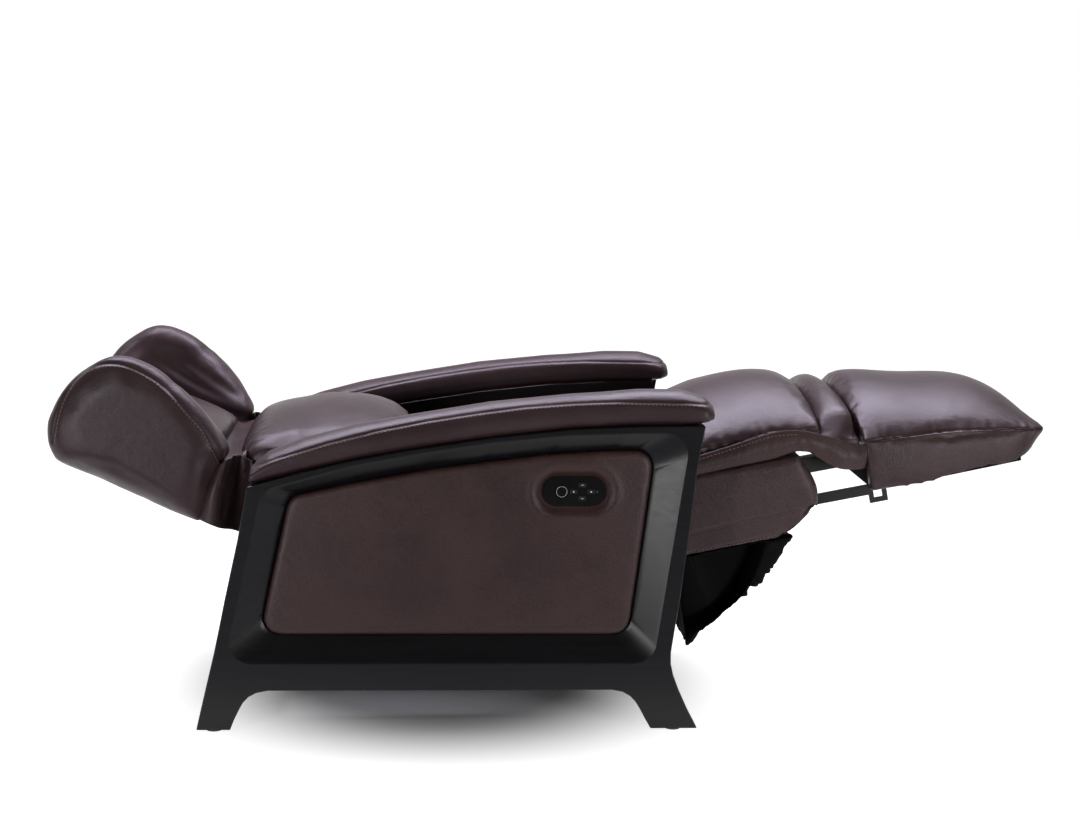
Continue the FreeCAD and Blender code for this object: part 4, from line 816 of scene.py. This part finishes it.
def gusset_ripple(down, across):
    """Pleats at the top and one crease beside the wing; across runs from the wing to the back."""
    pleats = GUSSET_PLEAT_DEPTH * (1 - down) ** 3 * np.sin(across * 2 * math.pi * GUSSET_PLEAT_COUNT)
    crease = np.exp(-((across - 0.56 + 0.16 * down) / GUSSET_CREASE_WIDTH) ** 2) * np.sin(down * math.pi)
    return pleats * smooth_step(across, 0.3, 0.5) - GUSSET_CREASE_DEPTH * crease


# Curves of the right gusset, from inside the wing to the back, where it is narrower
GUSSET = [
    [(-622, -304, 470), (-646, -306, 424), (-660, -306, 382)],
    [(-606, -318, 482), (-624, -330, 430), (-636, -328, 375)],
    [(-597, -312, 489), (-606, -322, 432), (-612, -324, 364)],
    [(-584, -282, 492), (-588, -286, 432), (-592, -288, 354)],
    [(-570, -273, 486), (-571, -272, 428), (-572, -272, 344)],
    [(-556, -270, 478), (-552, -270, 420), (-548, -270, 336)],
]


def add_gusset(side, word):
    curves = [[(x, side * -y, z) for x, y, z in curve] for curve in GUSSET]
    piece, area = loft(f"leather_gusset_{word}", curves, along=40, across=40, ripple=gusset_ripple)
    finish_piece(piece, HIDE, "back", "brown_leather")
    piece.parent = None
    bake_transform(piece)


# Seat: cushion, chaise pad and the roll at its front, sewn along their sides
CHAISE_DIP = 14
ROLL_END_LIFT = 20
ROLL_END_DROP = 34
ROLL_LAP = 18


def shape_chaise(piece):
    """Dips where the chaise pad meets the seat."""
    points = points_of(piece)
    x, z = points[:, 0] / MM, points[:, 2] / MM
    points[:, 2] -= CHAISE_DIP * MM * (1 - smooth_step(x, 215, 300)) * smooth_step(z, 520, 570)
    set_points(piece, points)


def shape_roll(piece):
    """Rounds the ends of the roll and lets its top lap over towards the footrest."""
    points = points_of(piece)
    x, y, z = (points / MM).T
    ends = smooth_step(np.abs(y), 205, 265)
    low = 1 - smooth_step(z, 474, 540)
    points[:, 2] += ROLL_END_LIFT * MM * ends * low
    points[:, 2] -= ROLL_END_DROP * MM * smooth_step(np.abs(y), 195, 268) ** 2 * smooth_step(z, 520, 560)
    points[:, 0] += ROLL_LAP * MM * smooth_step(z, 545, 610) * smooth_step(x, 530, 575)
    set_points(piece, points)


seat_cushion = pad("leather_seat_cushion", ["seat_cushion"], voxel=7, rounds=6, cap=7.0)
chaise = pad("leather_chaise_pad", ["chaise_pad"], voxel=5.5, rounds=5, cap=6.0, shape=shape_chaise)
roll = pad("leather_chaise_roll", ["chaise_roll"], voxel=5, rounds=7, cap=4.0, shape=shape_roll)
CHAISE_SEAM = [(200, 470), (262, 490), (330, 512), (402, 535), (455, 540), (512, 528), (555, 516), (588, 512)]
CHAISE_FOOT = [(200, 437), (262, 454), (344, 473), (409, 487), (456, 503), (485, 493), (514, 475), (552, 466),
               (582, 468)]


def pucker(piece, seam, depth, reach, pitch, shift):
    """Gathers the leather above a side seam; returns the distance from the seam and the share on a side."""
    points = points_of(piece)
    gap, run = from_line(side_on(points), curve_through(seam))
    above = points[:, 2] / MM > height_on(seam, points[:, 0] / MM)
    sides = smooth_step(np.abs(points[:, 1]) / MM, 225, 262)
    waves = 0.5 + 0.5 * uneven(run, pitch, shift)
    push(piece, -depth * np.where(above, np.exp(-gap / reach), 0) * sides * waves)
    return gap, sides


pucker(chaise, CHAISE_SEAM, depth=3.2, reach=26, pitch=27, shift=0.4)
for piece, node in ((seat_cushion, "seat_cushion"), (chaise, "chaise_pad"), (roll, "chaise_roll")):
    finish_piece(piece, HIDE, "seat", "brown_leather", node)


# Boxing: the strip below the chaise pad's side seam, which runs on under the roll
BOXING_LENGTH = 400
BOXING_BULGE = (267, 274, 268)
BOXING_STITCH_DROP = 7


def boxing_ripple(along, across):
    """Fine puckers all along, and soft folds near the footrest."""
    fine = 0.35 * uneven(along * BOXING_LENGTH + 12 * across, 13, 0.5) * np.sin(across * math.pi)
    folds = 1.8 * smooth_step(along, 0.6, 0.75) * uneven(along * BOXING_LENGTH - across * 22, 38, 1.3)
    return fine + folds * (0.4 + 0.6 * across)


def add_boxing(side, word):
    upper = curve_through(CHAISE_SEAM, 20)
    lower = resample(curve_through(CHAISE_FOOT, 20), len(upper))
    curves = []
    for line, out in zip((upper, (upper + lower) / 2, lower), BOXING_BULGE):
        curves.append([(x, side * (out - max(0, x - 545) * 0.3), z) for x, z in line])
    piece, area = loft(f"leather_boxing_{word}", curves, along=120, across=14, ripple=boxing_ripple)
    # The boxing gets the leather painted lighter for the light that falls on its side
    finish_piece(piece, BOXING_HIDE_PAINTED_LIGHT, "seat", "brown_leather")
    row = [(x, z - BOXING_STITCH_DROP) for x, z in curve_through(CHAISE_SEAM[:5])]
    side_stitches(f"boxing_stitches_{word}", piece, side, row, "seat")


for side, word in SIDES:
    add_boxing(side, word)
    add_gusset(side, word)


# Seat box: one leather cover over the front and side borders, with a seam and a hemmed flap
BOX_NODES = ["seat_front_border", "seat_side_border_right", "seat_side_border_left"]
BOX_SEAM = [(200, 330), (267, 348), (384, 375), (459, 391), (500, 402)]
BOX_HEM = [(215, 294), (262, 303), (348, 317), (423, 334), (452, 350), (474, 372), (490, 400)]
BOX_SWELL = 6
BOX_FLAP = 5
BOX_GROOVE = 6
HEM_STITCH_RISE = 8


def shape_box(piece):
    """Lifts the lower front corner to the hem's curve."""
    points = points_of(piece)
    points[:, 2] = np.maximum(points[:, 2], height_on(BOX_HEM, points[:, 0] / MM) * MM)
    set_points(piece, points)


box_cover = pad("leather_seat_box", BOX_NODES, voxel=5, rounds=4, cap=3.0, inset=0.0, shape=shape_box)
points = points_of(box_cover)
normals = normals_of(box_cover)
below = height_on(BOX_SEAM, points[:, 0] / MM) - points[:, 2] / MM
outward = smooth_step(np.abs(normals[:, 1]) + np.maximum(0, normals[:, 0]), 0.3, 0.7)
swell = BOX_SWELL * np.exp(-((below + 48) / 40) ** 2)
flap = BOX_FLAP * smooth_step(below, -1, 4)
push(box_cover, outward * (swell - flap - BOX_GROOVE * np.exp(-(below / 2.6) ** 2)))
# The box cover gets the leather painted lighter for the light that falls on its front and sides
finish_piece(box_cover, BOXING_HIDE_PAINTED_LIGHT, "seat", "brown_leather", *BOX_NODES)
for side, word in SIDES:
    row = [(x, z + HEM_STITCH_RISE) for x, z in curve_through(BOX_HEM[:4])]
    side_stitches(f"hem_stitches_{word}", box_cover, side, row, "seat")


# Footrest: a crowned pad with a sharp sewn edge and a grained boxing, painted lighter for the light on its
# sides
FOOT_SEAM = [(558, 516), (600, 522), (738, 539), (830, 543), (916, 544)]


def foot_edge(points):
    """The share by which points near the sewn edge stay sharp."""
    gap, _ = from_line(side_on(points), curve_through(FOOT_SEAM))
    return np.exp(-(gap / 7) ** 2)


def shape_foot(piece):
    """Draws the front out to a sharp edge, with the boxing cut back below it."""
    points = points_of(piece)
    x, z = points[:, 0] / MM, points[:, 2] / MM
    below = np.maximum(0, height_on(FOOT_SEAM, x) - z)
    front = smooth_step(x, 840, 915)
    points[:, 0] += front * (8 + 10 * np.exp(-((z - 541) / 14) ** 2) - 0.35 * below) * MM
    points[:, 2] -= 5 * smooth_step(below, 20, 45) * MM
    set_points(piece, points)


foot_pad = pad("leather_footrest_pad", ["footrest_pad"], voxel=5.5, rounds=4, cap=4.0,
               shape=shape_foot, crisp=foot_edge)
gap, sides = pucker(foot_pad, FOOT_SEAM, depth=2.6, reach=24, pitch=24, shift=1.1)
groove(foot_pad, np.where(sides > 0.5, gap, FAR), depth=2.0, width=2.4)
finish_piece(foot_pad, HIDE, "footrest", "brown_leather", "footrest_pad")
# The footrest's sides below the seam get the leather painted lighter for the light that falls on them
foot_pad.data.materials.append(BOXING_HIDE_PAINTED_LIGHT)
for face in foot_pad.data.polygons:
    face.material_index = int(face.center.z / MM < height_on(FOOT_SEAM, face.center.x / MM))


# Dust cover: thin cloth gathered by an elastic along its lower edge
COVER_EDGE = [(432, 338), (410, 274), (381, 222), (335, 178), (285, 160), (228, 150)]
COVER_HOLLOW = 46
COVER_SAG = 36
COVER_RIM = 20


def gather_cover(piece):
    """Hollows the open sides and crumples the elastic rim."""
    points = points_of(piece)
    gap, run = from_line(side_on(points), curve_through(COVER_EDGE))
    across = points[:, 1] / MM
    flank = smooth_step(np.abs(normals_of(piece)[:, 1]), 0.5, 0.9)
    points[:, 1] -= np.sign(across) * COVER_HOLLOW * MM * flank * smooth_step(gap, 22, 48)
    sag = (1 - smooth_step(points[:, 0] / MM, 225, 400)) * (1 - smooth_step(points[:, 2] / MM, 170, 330))
    points[:, 2] -= COVER_SAG * MM * sag
    set_points(piece, points)
    rim = np.exp(-(gap / COVER_RIM) ** 2)
    lumps = 8 * uneven(run, 41, 0.3) + 4 * uneven(run + across * 0.3, 15, 1.4)
    slack = 4 * uneven(across + run * 0.5, 83, 0.9) * (1 - rim)
    lumps = lumps * (1 - 0.8 * smooth_step(points[:, 2] / MM, 230, 320))
    push(piece, rim * lumps * smooth_step(np.abs(across), 150, 240) + slack)


cover = copy_of("gathered_dust_cover", "dust_cover")
remesh(cover, 6)
soften(cover, 8)
refine(cover)
gather_cover(cover)
finish_piece(cover, CLOTH, "seat", "cover_cloth", "dust_cover")


# Marks on the buttons: a ring, chevrons and dots, printed in white
PRINT_DEPTH = 0.3
DOT_RADIUS = 1.5
RING_RADIUS = 9.5
RING_LINE = 0.35
BUTTON_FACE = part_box("round_button")[0].y


def mark(name, body, outline):
    """A thin print on a button, through outline points in millimetres."""
    count = len(outline)
    points = [(x * MM, BUTTON_FACE - PRINT_DEPTH * MM, z * MM) for x, z in outline]
    points += [(x * MM, BUTTON_FACE + PRINT_DEPTH * MM, z * MM) for x, z in outline]
    faces = [tuple(range(count)), tuple(range(2 * count - 1, count - 1, -1))]
    for index in range(count):
        after = (index + 1) % count
        faces.append((index, index + count, after + count, after))
    piece = mesh_piece(name, points, faces)
    only(piece)
    bpy.ops.object.mode_set(mode="EDIT")
    bpy.ops.mesh.select_all(action="SELECT")
    bpy.ops.mesh.normals_make_consistent(inside=False)
    bpy.ops.object.mode_set(mode="OBJECT")
    finish_piece(piece, PRINT, body, "lens")


def middle_of(node):
    low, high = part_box(node)
    return (low.x + high.x) / 2 / MM, (low.z + high.z) / 2 / MM


def chevron(name, node, body, turn):
    x, z = middle_of(node)
    outline = [(-3.2, -1.4), (0, 1.6), (3.2, -1.4), (0, 0.2)]
    mark(name, body, [(x + right, z + up * turn) for right, up in outline])


def circle(x, z, radius, count, endpoint):
    turns = np.linspace(0, 2 * math.pi, count, endpoint=endpoint)
    return [(x + radius * math.cos(turn), z + radius * math.sin(turn)) for turn in turns]


chevron("up_mark", "up_button", "up_button_body", 1)
chevron("down_mark", "down_button", "down_button_body", -1)
for name in ("preset_left", "preset_right"):
    dot = circle(*middle_of(f"{name}_button"), DOT_RADIUS, 16, False)
    mark(f"{name}_mark", f"{name}_button_body", dot)
line = circle(*middle_of("round_button"), RING_RADIUS, 48, True)
ring = piping("round_mark", [(x * MM, BUTTON_FACE, z * MM) for x, z in line], RING_LINE)
finish_piece(ring, PRINT, "round_button_body", "lens")


# Stage, light and camera
PHOTO_WIDTH = 1080
PHOTO_HEIGHT = 824
FOCAL_PIXELS = 1964
ACROSS_VANISH = (414, 144)
ROLL_DEGREES = 0.3558
CAMERA_PLACE = (-264.806, -3844.0, 1057.080)
SENSOR = 36


def camera():
    """The photograph's view: the lines across the chair run to a known vanishing point."""
    aside = ACROSS_VANISH[0] - PHOTO_WIDTH / 2
    above = PHOTO_HEIGHT / 2 - ACROSS_VANISH[1]
    across = np.array((aside, above, FOCAL_PIXELS))
    across /= np.linalg.norm(across)
    lean = math.radians(ROLL_DEGREES)
    level = np.array((math.sin(lean), math.cos(lean), 0))
    upright = level - across * (level @ across)
    upright /= np.linalg.norm(upright)
    length = np.cross(across, upright)
    length *= np.sign(length[0])
    right, up, ahead = np.stack([length, across, upright], axis=1)
    data = bpy.data.cameras.new("camera")
    data.sensor_width = SENSOR
    data.lens = SENSOR * FOCAL_PIXELS / PHOTO_WIDTH
    view = bpy.data.objects.new("camera", data)
    SCENE.collection.objects.link(view)
    turn = Matrix((right, up, -ahead)).transposed()
    view.matrix_world = Matrix.LocRotScale(Vector(CAMERA_PLACE) * MM, turn, None)
    SCENE.camera = view


def softbox(name, place, aim, size, power, tint="ffffff"):
    data = bpy.data.lights.new(name, "AREA")
    data.shape = "RECTANGLE"
    data.size, data.size_y = size
    data.energy = power
    data.color = linear(tint)[:3]
    lamp = bpy.data.objects.new(name, data)
    SCENE.collection.objects.link(lamp)
    lamp.visible_camera = False
    lamp.location = place
    lamp.rotation_euler = (Vector(aim) - Vector(place)).to_track_quat("-Z", "Y").to_euler()


# The floor is shaded only below the chair, within an ellipse about its base
SHADE_MIDDLE = (-0.2, 0.0, 0.0)
SHADE_SPAN = (0.68, 0.76, 1.0)
SHADE_EDGE = (0.36, 0.88)
# Before the chair the floor doesn't glow in reflections
MIRROR_EDGE = (-0.8, -0.5)
FLOOR_SIZE = 40
PAPER = "a8a8a8"
STUDIO_FRONT = 0.06
STUDIO_TOP = 0.35


def floor():
    """A pale floor that stays white to the camera and keeps the chair's shadow."""
    bpy.ops.object.select_all(action="DESELECT")
    bpy.ops.mesh.primitive_plane_add(size=FLOOR_SIZE)
    plane = bpy.context.object
    plane.name = "studio_floor"
    material, tree = new_material("white_seamless_paper")
    path = add(tree, "LightPath")
    gloss = add(tree, "Math", {}, {0: (path, "Is Glossy Ray"), 1: (path, "Is Transmission Ray")},
                operation="MAXIMUM")
    place = add(tree, "TexCoord")
    span = add(tree, "Mapping", {"Location": SHADE_MIDDLE, "Scale": SHADE_SPAN},
               {"Vector": (place, "Object")}, vector_type="TEXTURE")
    away = add(tree, "VectorMath", {}, {0: (span, "Vector")}, operation="LENGTH")
    rise = add(tree, "MapRange", {"From Min": SHADE_EDGE[0], "From Max": SHADE_EDGE[1]},
               {"Value": (away, "Value")}, interpolation_type="SMOOTHSTEP")
    spot = add(tree, "SeparateXYZ", links={"Vector": (place, "Object")})
    depth = add(tree, "MapRange", {"From Min": MIRROR_EDGE[0], "From Max": MIRROR_EDGE[1]},
                {"Value": (spot, "Y")}, interpolation_type="SMOOTHSTEP")
    mirror = add(tree, "Math", {}, {0: (gloss, "Value"), 1: (depth, "Result")}, operation="MULTIPLY")
    seen = add(tree, "Math", {}, {0: (path, "Is Camera Ray"), 1: (mirror, "Value")}, operation="MAXIMUM")
    glow = add(tree, "Math", {}, {0: (seen, "Value"), 1: (rise, "Result")}, operation="MULTIPLY")
    shader = add(tree, "BsdfPrincipled",
                 {"Base Color": linear(PAPER), "Roughness": 0.9, "Emission Color": (1, 1, 1, 1)},
                 {"Emission Strength": (glow, "Value")})
    close(tree, shader)
    plane.data.materials.append(material)


def world():
    """A studio that the camera sees white, and the chair white behind it and dimmer in front."""
    space = bpy.data.worlds.new("studio")
    space.use_nodes = True
    tree = space.node_tree
    tree.nodes.clear()
    place = add(tree, "TexCoord")
    way = add(tree, "SeparateXYZ", links={"Vector": (place, "Generated")})
    wall = add(tree, "MapRange", {"From Min": 0.1, "From Max": 0.4, "To Min": 1.0, "To Max": STUDIO_TOP},
               {"Value": (way, "Z")}, interpolation_type="SMOOTHSTEP")
    level = add(tree, "MapRange", {"From Min": -0.3, "From Max": 0.4, "To Min": STUDIO_FRONT},
                {"Value": (way, "Y"), "To Max": (wall, "Result")}, interpolation_type="SMOOTHSTEP")
    path = add(tree, "LightPath")
    glow = add(tree, "Math", {}, {0: (path, "Is Camera Ray"), 1: (level, "Result")}, operation="MAXIMUM")
    back = add(tree, "Background", {"Color": (1, 1, 1, 1)}, {"Strength": (glow, "Value")})
    add(tree, "OutputWorld", links={"Surface": (back, "Background")})
    SCENE.world = space


SCENE.view_settings.view_transform = "Standard"
camera()
floor()
world()
softbox("overhead_strip", (-0.2, 0.7, 2.5), (-0.1, 0.0, 0.4), (3.4, 0.8), 115, "f2edff")
softbox("left_softbox", (-1.9, -2.7, 0.6), (0.0, -0.2, 0.4), (0.35, 1.1), 26)
softbox("right_softbox", (1.8, -2.5, 0.6), (0.5, -0.2, 0.45), (0.4, 1.0), 25)
